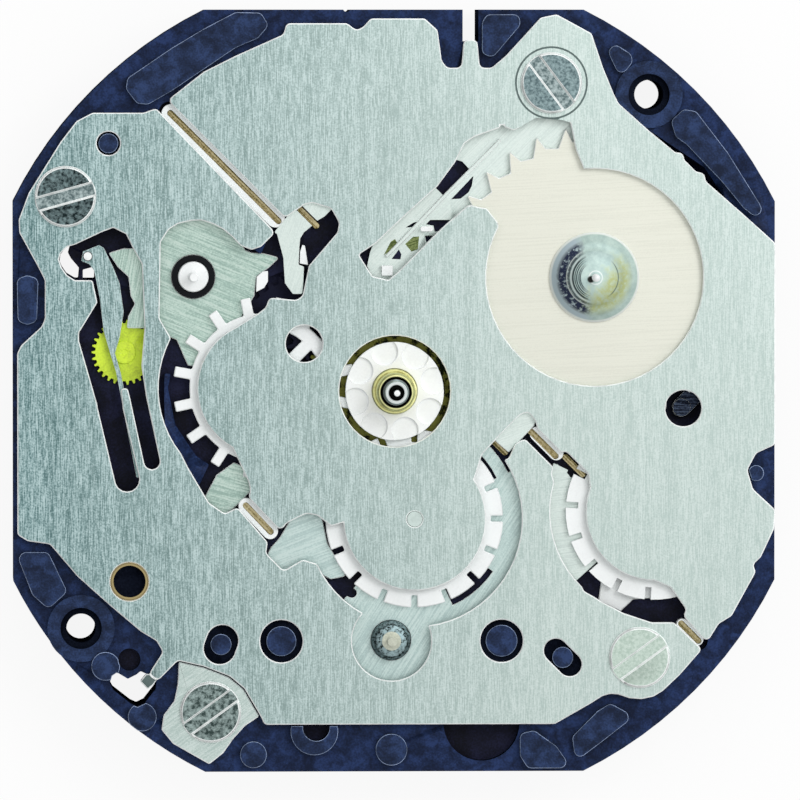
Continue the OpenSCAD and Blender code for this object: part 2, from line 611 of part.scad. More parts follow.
// Window of the two long levers, with two slots for their tails
module long_slots() {
    bar([-8.98, -0.4], [-8.42, -2.77], 0.76);
    bar([-8.07, -0.2], [-7.64, -2.2], 0.5);
    polygon([[-10.05, 4.62], [-9.2, 5.02], [-8.85, 5.15], [-8.45, 4.95], [-8.23, 4.5],
        [-7.95, 4], [-7.87, 2], [-7.97, 0.8], [-7.8, -0.3], [-8.3, -0.3], [-8.4, 0.1], [-8.62, 0.1],
        [-8.55, -0.6], [-9.3, -0.6], [-9.93, 1.6], [-9.93, 1.85],
        [-9.35, 2.8], [-9.5, 3.5], [-10.05, 3.5], [-10.3, 3.66], [-10.47, 3.9],
        [-10.56, 4.15], [-10.5, 4.35], [-10.3, 4.55]]);
}

// Oval from two round ends
module resize_oval(w, l) bar([0, (w - l) / 2], [0, (l - w) / 2], w);

module plate_screws() color([0.66, 0.7, 0.7]) for (k = [0:3]) {
    head_z = k == 3 ? rim_z + plate_t : plate_top_z;
    at(screw_at[k]) {
        slab(2.12, head_z + 0.01) circle(screw_shank_r - 0.01);
        difference() {
            translate([0, 0, head_z]) rotate_extrude() polygon([[0, 0], [screw_head_r, 0],
                [screw_head_r, screw_head_h - 0.05], [screw_head_r - 0.05, screw_head_h],
                [0, screw_head_h]]);
            slab(head_z + screw_head_h - 0.08, head_z + 1) rotate(screw_turn[k])
                square([3, screw_slot_w], center = true);
        }
    }
}

// Headed studs that the index wheels turn on, held in the upper plate
module wheel_studs() color([0.8, 0.83, 0.83]) for (k = [0:2]) at(index_at[k]) {
    slab(index_z - 0.08, index_z - 0.02) circle(stud_r + 0.2);
    slab(index_z - 0.05, k == 1 ? plate_top_z : seat_z) circle(stud_r - (k == 1 ? 0.01 : 0));
}

module centre_bush() color([0.55, 0.5, 0.25]) slab(roof_z - 0.05, deep_floor_z + 0.02) difference() {
    circle(bush_r);
    circle(bush_bore_r);
}

module side_bush() color([0.7, 0.6, 0.3]) at(side_bush_at) slab(seat_z, plate_top_z) difference() {
    circle(0.6);
    circle(0.5);
}

// Hub, spokes and rim that all three index wheels share
module index_body(rim_in) {
    difference() {
        circle(0.75);
        circle(stud_r + run_gap);
    }
    for (k = [0:3]) rotate(k * 90 + 45) translate([0.7, -0.2]) square([rim_in - 0.65, 0.4]);
}

module index_wheel_left() color([0.97, 0.98, 0.98]) at(index_at[0]) slab(index_z, index_z + index_t) {
    index_body(1.9);
    difference() {
        union() {
            circle(star_root_r);
            for (k = [0:index_n - 1]) rotate(102 + k * 360 / index_n)
                soften(0.04) translate([star_root_r - 0.2, -star_tooth_w / 2])
                    square([star_tip_r - star_root_r + 0.2, star_tooth_w]);
        }
        circle(1.9);
    }
}

module slotted_wheel(first) slab(index_z, index_z + index_t) {
    index_body(1.95);
    difference() {
        circle(slot_wheel_r);
        circle(1.95);
        for (k = [0:index_n - 1]) rotate(first + k * 360 / index_n)
            translate([slot_wheel_r - slot_depth, -slot_w / 2]) square([1, slot_w]);
    }
}

module index_wheel_centre() color([0.97, 0.98, 0.98]) at(index_at[1]) slotted_wheel(-90);

module index_wheel_right() color([0.97, 0.98, 0.98]) at(index_at[2]) slotted_wheel(175.7);

module jumper_left() color([0.72, 0.8, 0.74]) slab(jumper_z, jumper_z + jumper_t) difference() {
    soften(0.06) union() {
        intersection() {
            disc([-6.3, 3.72], 1.78);
            translate([-7.5, 1.9]) square([3, 4]);
        }
        polygon([[-7.5, 1.9], [-7.5, 4.4], [-5.3, 4.9], [-4.85, 4.5], [-4.5, 4.36], [-4.1, 4.33],
            [-3.6, 4.2], [-3.95, 3.87], [-4.33, 3.6], [-4.4, 3], [-5, 2], [-6.15, 0.75], [-6.5, 0.8],
            [-6.85, 1.6]]);
    }
    disc(left_at, left_collar_r);
}

module left_collar() color([0.1, 0.12, 0.16]) at(left_at) slab(jumper_z, seat_z - 0.1) difference() {
    circle(left_collar_r);
    circle(left_hub_r + run_gap);
}

module jumper_bottom() color([0.7, 0.79, 0.74]) slab(jumper_z, jumper_z + jumper_t) difference() {
    union() {
        disc(bottom_at, 1.42);
        ring_part(index_at[1], 2.3, 3.5, -131, -66);
        ring_part(index_at[1], 3, 3.5, -70, -30);
        ring_part(index_at[1], 2.3, 3.5, -34, 26);
        ring_part(index_at[1], 2.9, 3.3, 24, 46);
    }
    disc(bottom_at, bottom_hub_r + run_gap);
    bar([-2.2, -6], [-1.33, -6.38], 0.3);
}

module jumper_right() color([0.72, 0.8, 0.74]) slab(jumper_z, jumper_z + jumper_t) difference() {
    union() {
        ring_part(index_at[2], 2.3, 3.5, 158, 222);
        ring_part(index_at[2], 3, 3.5, 154.5, 160);
        bar(right_pin_at, right_pin_at + [0.6, 0.1], 0.8);
        polygon([[4.86, -2.45], [5.15, -2.32], [5.42, -2.55], [5.6, -2.78], [5.4, -3.2], [4.9, -3.05]]);
    }
    disc(right_pin_at, 0.2 + run_gap);
    disc(index_at[1], 3.66);
}

module slot_claw() color([0.85, 0.88, 0.88]) slab(seat_z - 0.1, seat_z) difference() {
    soften(0.05) polygon([[-3.79, 5], [-3.07, 5.87], [-2.6, 5.95], [-2.2, 5.9], [-1.95, 5.75],
        [-2.2, 5.5], [-2.45, 5.35], [-2.6, 5.2], [-2.85, 5], [-2.97, 4.8], [-3, 4.45], [-3.02, 3.98],
        [-2.85, 3.92], [-2.87, 3.4], [-2.9, 3.06], [-3.2, 3.06], [-3.45, 3.4], [-3.5, 4.2],
        [-3.7, 4.95]]);
    bar([-3.05, 5.82], [-2.45, 5.22], strip_w + 0.02);
}

module corner_claw() color([0.72, 0.78, 0.76]) slab(jumper_z, jumper_z + jumper_t) soften(0.08) polygon([
    [-5.6, -2.65], [-5.05, -2.25], [-4.45, -2.5], [-4.3, -2.9], [-4.45, -3.1], [-5.05, -3.7],
    [-5.4, -3.95], [-6, -3.4]]);

module lower_claw() color([0.72, 0.78, 0.76]) slab(jumper_z, jumper_z + jumper_t) soften(0.08) polygon([
    [-3.9, -4.95], [-3.6, -4.62], [-3.3, -4.1], [-2.6, -3.75], [-2.3, -3.85], [-2.1, -4.8], [-1.5, -5.85],
    [-2, -5.95], [-2.9, -5.5], [-3.5, -5.75], [-4.05, -5.25]]);

module spring_finger() color([0.85, 0.88, 0.88]) slab(seat_z - 0.08, seat_z) soften(0.05) polygon([
    [3, -1.35], [3.8, -0.62], [4.2, -0.55], [4.5, -0.85], [4.4, -1.1], [3.6, -1.95], [3.2, -1.6]]);

module screw_bracket() color([0.75, 0.82, 0.8]) slab(rim_z, rim_z + plate_t) difference() {
    soften(0.08) polygon([[-6.8, -8.4], [-6, -8.5], [-5.24, -8.8], [-4.6, -9.2], [-4.2, -10.2],
        [-4.71, -10.54], [-5.09, -10.96], [-5.4, -11.4], [-5.84, -11.75], [-6.98, -11.1], [-7.34, -10.66],
        [-7.28, -10.2], [-6.94, -9.75], [-6.83, -9.22]]);
    disc(screw_at[3], screw_shank_r + 0.05);
    offset(delta = 0.04) lower_field();
}

// Strips that stand on edge below the four slots
module brass_strips() color([0.69, 0.63, 0.45]) slab(lever_floor_z, jumper_z + 0.16)
    for (ends = strip_ends) bar(ends[0], ends[1], strip_w);

module blade_lever() color([0.76, 0.83, 0.83]) slab(index_z + 0.02, index_z + 0.16) difference() {
    soften(0.03) union() {
        polygon([[-9.8, 4.4], [-9.3, 4.6], [-9.15, 4.52], [-8.85, 3.9], [-8.65, 3.4], [-8.52, 2.5],
            [-8.65, 1.7], [-8.8, 1.2], [-8.62, 0.6], [-7.98, -2.7], [-8.12, -2.72], [-8.76, 0.6],
            [-8.95, 1.2], [-9.15, 1.9], [-9.27, 2.9], [-9.45, 3.8], [-9.6, 4], [-9.85, 4.1]]);
    }
    disc(blade_pin_at, 0.13 + run_gap);
}

module stop_lever() color([0.74, 0.82, 0.77]) difference() {
    slab(stop_z, stop_z + 0.1) soften(0.05) polygon([[-9, 4.35], [-8.5, 4.5], [-7.9, 4.5], [-7.6, 4],
        [-7.6, 1.98], [-8.42, 1.98], [-8.38, 2.35], [-8.17, 2.75], [-8.3, 3], [-8.37, 3.6], [-8.7, 3.9]]);
    slab(0, stop_z + 0.07) disc(stop_pin_at, 0.15 + run_gap);
}

module green_wheel() color([0.76, 0.86, 0.2]) at(green_at) difference() {
    union() {
        slab(jumper_z, jumper_z + jumper_t) gear_2d(green_n, green_r * 2 / (green_n + 1.6));
        slab(jumper_z, jumper_z + 0.17) circle(0.36);
    }
    slab(0, jumper_z + 0.13) circle(0.16 + run_gap);
    slab(jumper_z + 0.15, 5) circle(0.1);
}

// Saw teeth lean one way: a steep flank and a long one
module date_wheel() color([0.93, 0.92, 0.87]) at(date_at) slab(date_z, date_z + date_t) difference() {
    polygon([for (k = [0:date_n - 1], c = [[0, date_tip_r], [0.06, date_tip_r - 0.03], [0.43, date_root_r],
            [0.86, date_root_r + 0.12]])
        c[1] * [cos(100.7 + (k + c[0]) * 360 / date_n), sin(100.7 + (k + c[0]) * 360 / date_n)]]);
    circle(0.5);
}

module date_hub() color([0.5, 0.53, 0.53]) at(date_at) rotate_extrude() polygon([
    [0, roof_z + 0.14], [date_arbor_r, roof_z + 0.14], [date_arbor_r, lever_floor_z + 0.1],
    [0.5, lever_floor_z + 0.1], [0.5, date_z + date_t], [date_hub_r, date_z + date_t],
    [date_hub_r, date_z + date_t + 0.1], [date_hub_r - 0.25, date_z + date_t + 0.25],
    [date_hub_r - 0.25, date_z + date_t + 0.35], [0.85, date_hub_z - 0.15], [0.85, date_hub_z],
    [0.35, date_hub_z], [date_arbor_r, date_hub_z + 0.02], [date_arbor_r, date_arbor_z], [0, date_arbor_z]]);

module date_jumper() color([0.78, 0.84, 0.8]) difference() {
    slab(jumper_z, jumper_z + jumper_t) difference() {
        soften(0.05) polygon([[-0.85, 3.93], [-0.6, 3.4], [-0.2, 3.15], [0.5, 3.4], [1, 4.2], [1.9, 4.9],
            [2.7, 5.3], [3.6, 6.1], [4.4, 6.8], [5.5, 7.2], [5.95, 7.6], [5.6, 8.62], [4.7, 8.75],
            [3.4, 8.5], [2.4, 8.2], [1.8, 7.7], [1.1, 6.65], [0.1, 5.7], [-0.7, 4.9], [-0.66, 4.62],
            [-0.76, 4.35]]);
        polygon([[1.3, 6.4], [1.93, 7.28], [2.15, 7.22], [2.38, 6.97], [1.6, 6.1]]);
        polygon([[1.8, 6.03], [2.1, 6.05], [2.35, 6.25], [2.45, 6.45], [2.5, 6.77]]);
        polygon([[1, 5.24], [1.14, 5.38], [1.78, 5.38], [1.38, 5.02], [1.28, 5], [1.24, 5.2]]);
        polygon([[0.97, 4.88], [1.24, 4.88], [1.02, 4.66]]);
        polygon([[0.36, 5.14], [0.62, 5.3], [0.88, 5.34], [0.66, 5.16]]);
    }
    slab(0, jumper_z + 0.1) disc(jumper_pin_at, 0.18 + run_gap);
    // Shallow stamped pockets by the pivot
    slab(jumper_z + 0.1, 5) {
        polygon([[-0.33, 4.27], [-0.1, 4.7], [0.03, 4.78], [0.12, 4.62], [-0.06, 4.45]]);
        polygon([[-0.08, 4.15], [0.15, 4.45], [0.23, 4.3], [0.2, 4.14]]);
        polygon([[0.35, 4.62], [0.6, 4.85], [0.79, 4.86], [0.75, 4.45], [0.55, 4.38]]);
    }
}

module jumper_wire() color([0.88, 0.9, 0.9]) slab(jumper_z + jumper_t, jumper_z + 0.26)
    polygon([[-0.3, 4.25], [-0.22, 4.19], [0.5, 4.9], [1.54, 6], [3.39, 7.86], [3.31, 7.94],
        [1.46, 6.09], [0.42, 4.99]]);

// White guides on both sides of the strips, and the white pieces beside the claws
module slot_liners() color([0.95, 0.97, 0.96]) {
    slab(lever_floor_z, seat_z - 0.02) difference() {
        for (ends = liner_ends) bar(ends[0], ends[1], ends[2]);
        for (ends = strip_ends) bar(ends[0], ends[1], strip_w);
    }
    slab(lever_floor_z, seat_z - 0.05)
        polygon([[-2.97, 4.38], [-2.9, 4.6], [-2.82, 4.58], [-2.72, 3.97], [-2.98, 4.02]]);
    slab(jumper_z + jumper_t + 0.02, seat_z - 0.15)
        polygon([[-4.35, 3.12], [-4.33, 3.6], [-4.15, 3.76], [-3.98, 3.78], [-3.98, 3.45], [-4.1, 3.25]]);
    slab(jumper_z + jumper_t, seat_z - 0.1) {
        bar([0.9, 5.1], [1.15, 5.1], 0.16);
        translate([-0.4, 3.63]) square([0.35, 0.32]);
    }
}

module left_hand_wheel() color([0.96, 0.97, 0.96]) at(left_at) {
    slab(motion_z, motion_z + gear_t) gear_2d(24, left_wheel_r * 2 / 25.6);
    slab(motion_z + gear_t, seat_z - 0.04) circle(left_hub_r);
    slab(roof_z + 0.14, left_arbor_z) circle(left_arbor_r);
}

module bottom_hand_wheel() color([0.6, 0.64, 0.64]) at(bottom_at) {
    slab(motion_z, motion_z + gear_t) gear_2d(20, bottom_wheel_r * 2 / 21.6);
    rotate_extrude() polygon([[0, motion_z], [bottom_hub_r, motion_z], [bottom_hub_r, seat_z],
        [0.5, seat_z + 0.1], [0.5, seat_z + 0.16], [0.3, seat_z + 0.22], [0, seat_z + 0.22]]);
    slab(roof_z + 0.14, bottom_arbor_z) circle(bottom_arbor_r);
}

module motion_wheel() color([0.95, 0.96, 0.95]) at(motion_at) difference() {
    union() {
        slab(motion_z, motion_z + gear_t) gear_2d(motion_n, cannon_pair_m);
        slab(motion_z, hour_z + gear_t + 0.02) rotate(14) gear_2d(hour_pinion_n, hour_pair_m);
    }
    slab(0, lever_floor_z + 0.02) circle(0.16 + run_gap);
}

// Brass gear and pipe of the hour hand, with a round collar under the cam
module hour_wheel() color([0.62, 0.56, 0.3]) {
    slab(hour_z, hour_z + gear_t) gear_2d(hour_n, hour_pair_m, minute_pipe_r + run_gap);
    rotate_extrude() polygon([[bush_bore_r, hour_z], [collar_r + 0.02, hour_z], [collar_r, hour_seat_z],
        [hour_pipe_r, hour_seat_z], [hour_pipe_r, hour_pipe_z - 0.1], [hour_pipe_r - 0.06, hour_pipe_z],
        [hour_pipe_r - 0.11, hour_pipe_z], [hour_pipe_r - 0.12, hour_pipe_z - 0.2],
        [bush_bore_r, hour_pipe_z - 0.2]]);
}

// White cam on the hour wheel: a foot between the index wheels and a top with pockets round its edge
module hour_cam() color([0.97, 0.98, 0.98]) difference() {
    union() {
        slab(hour_z + gear_t, index_z + index_t + 0.04) circle(cam_foot_r);
        slab(index_z + index_t + 0.04, plate_top_z - 0.04) circle(cam_r);
    }
    slab(0, 5) circle(collar_r + 0.02);
    slab(plate_top_z - 0.14, 5) for (k = [0:7]) rotate(14.6 + k * 45) translate([1.28, 0]) circle(0.42);
}

module white_spacer() color([0.97, 0.98, 0.98]) slab(jumper_z, jumper_z + jumper_t) soften(0.05) polygon([
    [6.55, -5.95], [7.4, -5.6], [8.9, -6.1], [9, -6.5], [7.55, -6.6], [7.15, -6.98], [6.45, -6.65]]);

// Gear, pipe of the minute hand and cannon pinion
module centre_wheel() color([0.78, 0.68, 0.38]) {
    slab(centre_z, centre_z + gear_t) gear_2d(centre_n, centre_pair_m, seconds_arbor_r + run_gap);
    rotate_extrude() polygon([[seconds_arbor_r + run_gap, centre_z], [minute_pipe_r, centre_z],
        [minute_pipe_r - 0.01, hour_pipe_z - 0.18], [hour_pipe_r - 0.18, hour_pipe_z - 0.16],
        [hour_pipe_r - 0.19, hour_pipe_z + 0.03], [minute_pipe_r, hour_pipe_z + 0.05],
        [minute_pipe_r, minute_pipe_z], [minute_pipe_r - 0.11, minute_pipe_z],
        [minute_pipe_r - 0.12, minute_pipe_z - 0.2], [seconds_arbor_r + run_gap, minute_pipe_z - 0.2]]);
    slab(motion_z, motion_z + gear_t + 0.02) rotate(10) gear_2d(cannon_n, cannon_pair_m, minute_pipe_r);
}

module seconds_wheel() color([0.78, 0.68, 0.38]) {
    slab(seconds_z, seconds_z + gear_t) gear_2d(seconds_n, fifth_pair_m);
    slab(seconds_z, centre_z - 0.06) gear_2d(pinion_n, seconds_pair_m);
    rotate_extrude() polygon([[0, bridge_z + 0.06], [seconds_arbor_r, bridge_z + 0.06],
        [seconds_arbor_r - 0.005, minute_pipe_z + 0.04], [seconds_arbor_r, minute_pipe_z + 0.05],
        [seconds_arbor_r, seconds_arbor_z], [0, seconds_arbor_z]]);
}

module arbor(p) at(p) slab(bridge_z + 0.06, roof_z + 0.12) circle(pivot_r);

module third_wheel() color([0.78, 0.68, 0.38]) {
    at(third_at) slab(third_z, third_z + gear_t) gear_2d(third_n, seconds_pair_m);
    at(third_at) slab(third_z, centre_z + gear_t + 0.06) gear_2d(pinion_n, centre_pair_m);
    arbor(third_at);
}

// Its arbor is turned down to a neck beside the teeth of the centre wheel
module fifth_wheel() color([0.78, 0.68, 0.38]) {
    at(fifth_at) slab(fifth_z, fifth_z + gear_t) gear_2d(fifth_n, rotor_pair_m);
    at(fifth_at) slab(seconds_z - 0.04, fifth_z + gear_t) gear_2d(pinion_n, fifth_pair_m);
    difference() {
        arbor(fifth_at);
        at(fifth_at) slab(centre_z - 0.04, centre_z + gear_t + 0.04) difference() {
            circle(pivot_r + 0.1);
            circle(fifth_neck_r);
        }
    }
}

module rotor() color([0.72, 0.74, 0.75]) {
    at(rotor_at) slab(magnet_z + magnet_h, fifth_z + gear_t + 0.05) gear_2d(rotor_pinion_n, rotor_pair_m);
    arbor(rotor_at);
}

module magnet() color([0.3, 0.31, 0.33]) at(rotor_at) slab(magnet_z, magnet_z + magnet_h) difference() {
    circle(magnet_r);
    circle(pivot_r);
}

// Two pole plates joined by thin necks at the rotor
module stator() color([0.62, 0.66, 0.68]) slab(stator_z, stator_z + stator_t) difference() {
    stator_outline();
    disc(rotor_at, magnet_r + 0.18);
    for (side = [-1, 1]) disc(rotor_at + side * [0.1, magnet_r + 0.56], 0.2);
    for (side = [-1, 1]) disc([coil_at[0] + side * coil_reach, coil_at[1]], 0.3);
}

module coil_core() color([0.6, 0.63, 0.65]) {
    slab(stator_z + stator_t, coil_z + 0.12) for (side = [-1, 1]) difference() {
        translate([coil_at[0] + side * coil_reach - 0.5, coil_at[1] - 0.6]) square([1, 1.2]);
        disc([coil_at[0] + side * coil_reach, coil_at[1]], 0.3);
    }
    translate([coil_at[0] - coil_reach + 0.4, coil_at[1] - 0.3, coil_z - 0.12])
        cube([2 * coil_reach - 0.8, 0.6, 0.24]);
    for (side = [-1, 1]) translate([coil_at[0] + side * (coil_l / 2 + 0.05), coil_at[1], coil_z])
        rotate([0, 90, 0]) cylinder(r = coil_d / 2 + 0.03, h = 0.12, center = true);
}

// The wound body between the two flanges
module coil_winding() color([0.72, 0.4, 0.2]) difference() {
    translate([coil_at[0], coil_at[1], coil_z]) rotate([0, 90, 0])
        cylinder(r = coil_d / 2, h = coil_l - 0.04, center = true);
    translate([coil_at[0] - coil_l, coil_at[1] - 0.3, coil_z - 0.12]) cube([2 * coil_l, 0.6, 0.24]);
}

module train_bridge() color([0.2, 0.22, 0.26]) slab(bridge_z, bridge_top_z) difference() {
    bridge_outline();
    for (p = [third_at, fifth_at, rotor_at]) disc(p, pivot_r + run_gap);
    disc([0, 0], seconds_arbor_r + run_gap);
}

module near_setting_wheel() color([0.94, 0.95, 0.94]) at(near_at) slab(motion_z, motion_z + gear_t)
    rotate(8) gear_2d(setting_n, setting_m, 0.3 + run_gap);

module far_setting_wheel() color([0.94, 0.95, 0.94]) at(far_at) slab(motion_z, motion_z + gear_t)
    rotate(17) gear_2d(setting_n, setting_m, 0.3 + run_gap);

// Pinion on the stem's axis with a square hole, a groove for the yoke and crown teeth at its inner end
module clutch_pinion() color([0.72, 0.75, 0.76]) difference() {
    translate([clutch_x, 0, stem_z]) rotate([0, 90, 0]) rotate_extrude() polygon([[0.2, 0], [clutch_r, 0],
        [clutch_r, 0.55], [clutch_r - 0.3, 0.6], [clutch_r - 0.3, 0.95], [clutch_r, 1],
        [clutch_r, clutch_l],
        [0.2, clutch_l]]);
    translate([clutch_x - 1, -0.23, stem_z - 0.23]) cube([clutch_l + 2, 0.46, 0.46]);
    for (k = [0:4]) translate([clutch_x - 0.01, 0, stem_z]) rotate([k * 36, 0, 0])
        translate([-0.1, -0.08, -2]) cube([0.28, 0.16, 4]);
}

module setting_lever() color([0.78, 0.82, 0.82]) difference() {
    union() {
        slab(keyless_z + 0.04, keyless_z + 0.24) difference() {
            union() {
                bar(lever_pin_at, [9.68, 0.05], 0.62);
                disc(lever_pin_at, 0.55);
                bar([9.68, 0.05], release_at, 0.6);
            }
            disc(lever_pin_at, 0.3 + run_gap);
        }
        slab(keyless_z + 0.24, keyless_z + 0.36) disc(release_at, 0.28);
        slab(stem_z + stem_bore_r + 0.04, keyless_z + 0.1) disc([9.68, 0.05], 0.17);
    }
}

module yoke() color([0.74, 0.78, 0.78]) {
    slab(keyless_z + 0.04, keyless_z + 0.2) difference() {
        union() {
            bar(yoke_pin_at, [yoke_tip_x, 0], 0.4);
            disc(yoke_pin_at, 0.42);
        }
        disc(yoke_pin_at, 0.25 + run_gap);
    }
    slab(stem_z + clutch_r - 0.23, keyless_z + 0.1) disc([yoke_tip_x, 0], 0.12);
}

module button_cell() color([0.82, 0.83, 0.83]) at(cell_at) rotate_extrude() polygon([[0, cell_z],
    [cell_d / 2 - 0.15, cell_z], [cell_d / 2, cell_z + 0.15], [cell_d / 2, cell_z + cell_h - 0.35],
    [cell_d / 2 - 0.5, cell_z + cell_h - 0.3], [cell_d / 2 - 0.6, cell_z + cell_h], [0, cell_z + cell_h]]);

module cell_contact() color([0.8, 0.7, 0.35]) slab(cell_z + cell_h, roof_z - 0.02) {
    bar(cell_at + [-1.6, -1.6], cell_at + [1.4, 1.4], 0.9);
    bar(cell_at + [1.4, 1.4], cell_at + [2.9, 1.9], 0.7);
}

module circuit_board() color([0.12, 0.3, 0.22]) slab(board_z, board_z + board_t) difference() {
    board_outline();
    for (p = back_screw_at) disc(p, back_shank_r + 0.1);
}

module chip() color([0.06, 0.06, 0.07]) slab(board_z + board_t, board_z + board_t + chip_h)
    translate(chip_at) soften(0.1) square(chip_w, center = true);

module crystal() color([0.78, 0.79, 0.8])
    translate([crystal_at[0] - crystal_l / 2, crystal_at[1], crystal_z])
        rotate([0, 90, 0]) cylinder(r = crystal_d / 2, h = crystal_l);

// Cover with the opening for the cell, whose lip and arm hold the cell at its rim
module back_cover() color([0.78, 0.8, 0.78]) difference() {
    slab(0, cover_t) difference() {
        movement_outline(0.35);
        disc(cell_at, cell_d / 2 - 0.55);
        translate([coil_at[0] - coil_l / 2 + 0.4, coil_at[1] - 0.55]) square([coil_l - 0.8, 1.1]);
        soften(0.2) translate([-3.6, -4.6]) square([3.3, 2.9]);
        soften(0.2) polygon([[5.9, -1], [8.3, -1], [8.3, 1], [5.9, 1]]);
        for (p = back_screw_at) disc(p, back_shank_r + 0.08);
        for (p = foot_at) disc(p, foot_hole_r + 0.2);
        offset(delta = 0.15) through_windows();
        disc([cell_at[0] + 4.4, cell_at[1] + 2], 0.4);
    }
    slab(-1, cover_t / 2) for (p = back_screw_at) disc(p, back_head_r + 0.04);
}

module back_screws() color([0.7, 0.72, 0.72]) for (p = back_screw_at) at(p) {
    difference() {
        slab(0, cover_t / 2) circle(back_head_r);
        slab(-1, cover_t / 4) square([3, 0.3], center = true);
    }
    slab(cover_t / 2 - 0.01, 1.35) circle(back_shank_r - 0.01);
}

main_plate();
upper_plate();
lower_plate();
plate_screws();
wheel_studs();
centre_bush();
side_bush();
index_wheel_left();
index_wheel_centre();
index_wheel_right();
jumper_left();
left_collar();
jumper_bottom();
jumper_right();
slot_claw();
lower_claw();
corner_claw();
spring_finger();
screw_bracket();
brass_strips();
slot_liners();
blade_lever();
stop_lever();
green_wheel();
date_wheel();
date_hub();
date_jumper();
jumper_wire();
left_hand_wheel();
bottom_hand_wheel();
motion_wheel();
hour_wheel();
hour_cam();
white_spacer();
centre_wheel();
seconds_wheel();
third_wheel();
fifth_wheel();
rotor();
magnet();
stator();
coil_core();
coil_winding();
train_bridge();
near_setting_wheel();
far_setting_wheel();
clutch_pinion();
setting_lever();
yoke();
button_cell();
cell_contact();
circuit_board();
chip();
crystal();
back_cover();
back_screws();
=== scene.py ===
import json
import math
from collections import namedtuple

import bmesh
import bpy
from bpy.props import FloatProperty, FloatVectorProperty, PointerProperty
from bpy.types import Operator, Panel, PropertyGroup
from mathutils import Matrix, Vector

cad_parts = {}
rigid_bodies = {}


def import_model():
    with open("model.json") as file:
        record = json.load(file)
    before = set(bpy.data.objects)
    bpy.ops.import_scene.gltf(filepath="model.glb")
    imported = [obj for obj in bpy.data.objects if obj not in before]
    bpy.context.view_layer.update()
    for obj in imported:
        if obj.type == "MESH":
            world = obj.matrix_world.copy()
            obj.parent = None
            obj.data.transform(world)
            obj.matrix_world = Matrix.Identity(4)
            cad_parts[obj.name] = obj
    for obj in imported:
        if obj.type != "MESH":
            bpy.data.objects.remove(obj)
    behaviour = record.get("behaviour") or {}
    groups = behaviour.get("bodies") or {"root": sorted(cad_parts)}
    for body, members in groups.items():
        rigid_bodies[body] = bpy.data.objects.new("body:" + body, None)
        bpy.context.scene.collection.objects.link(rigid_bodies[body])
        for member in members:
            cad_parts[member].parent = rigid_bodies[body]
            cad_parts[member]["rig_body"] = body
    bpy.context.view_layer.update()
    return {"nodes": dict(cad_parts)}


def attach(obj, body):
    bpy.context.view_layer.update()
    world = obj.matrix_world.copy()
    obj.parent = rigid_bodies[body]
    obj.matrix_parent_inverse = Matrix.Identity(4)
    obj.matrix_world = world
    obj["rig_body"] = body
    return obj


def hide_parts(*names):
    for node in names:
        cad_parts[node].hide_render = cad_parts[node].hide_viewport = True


bl_info = {
    "name": "Quartz watch movement dressing",
    "version": (1, 0, 0),
    "blender": (4, 5, 0),
    "location": "3D View > Sidebar > Movement",
    "description": "Gives the packed watch movement its edges, finishes and studio",
    "category": "Object",
}

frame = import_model()
MM = 0.001

# Axes and places in mm from the middle of the movement
DATE_AXIS = (6.3, 3.58)
BOTTOM_AXIS = (-0.1, -7.87)
BLADE_POST = (-9.65, 4.25)
SCREW_PLACES = ((-10.35, 6.13), (4.93, 9.70), (7.72, -8.4), (-5.8, -10.1))
TOP_SCREW, RIGHT_SCREW, BOTTOM_SCREW = 1, 2, 3
POST_R = 0.3
SCRIBED_RING_R = 1.3
# The plates' tones turn from the left's to the right's between these places on X: painted shade on the left,
# painted light on the right
TONES_FROM, TONES_TO = -11.5, 5

# Heights in mm above the back face that tell one surface of a piece from the next
HOLLOW_TOP = 2.57
POCKET_TOP = 2.6
GEAR_TOP = 2.75
RIM_FACE = 2.8
# The feet's counterbores, and the seat of the plates, which take the walls' painted shade
COVERED_FACES = (2.82, 2.92)
PADS_FROM = 3
# The floor of the ring round the top screw lies between these; its dark tone is painted shade
SCRIBED_RING = (3.05, 3.115)
BRACKET_SLOT_TOP = 3.05
PLATE_SLOT_TOP = 3.24
DATE_HUB_TOP = 3.7
PIPE_SHOULDER_TOP = 4.4
ARBOR_TIP = 5

# A face whose normal has a larger share upwards than this lies flat and faces up
FACES_UP = 0.9
SAME_HEIGHT = 0.005
# Edges at which the surface turns by more than this are broken, and those after it shaded sharp
BROKEN_FROM = math.radians(28)
SHADED_SHARP_FROM = math.radians(30)


def from_hex(text):
    """Linear colour from an sRGB hex value."""
    parts = [int(text[k : k + 2], 16) / 255 for k in (0, 2, 4)]
    return tuple(p / 12.92 if p <= 0.04045 else ((p + 0.055) / 1.055) ** 2.4 for p in parts)


def colour(text, name, description):
    return FloatVectorProperty(
        name=name, description=description, subtype="COLOR", size=3, min=0, max=1, default=from_hex(text)
    )


def length(size, name, description):
    return FloatProperty(name=name, description=description, unit="LENGTH", min=0, default=size * MM)


class MovementEdges(PropertyGroup):
    plate: length(0.035, "Plate edge", "Width of the cut edge round the dial-side plates")
    lever: length(0.025, "Lever edge", "Width of the cut edge round levers and springs")
    resin: length(0.03, "Resin edge", "Width of the moulded edge round white and green wheels")
    case: length(0.02, "Case edge", "Width of the moulded edge round the main plate's pads and studs")
    gear: length(0.012, "Gear edge", "Width of the deburred edge on brass wheels")
    screw: length(0.035, "Screw edge", "Width of the polished edge on screw heads and slots")
    back: length(0.05, "Cover edge", "Width of the pressed edge round the back cover")


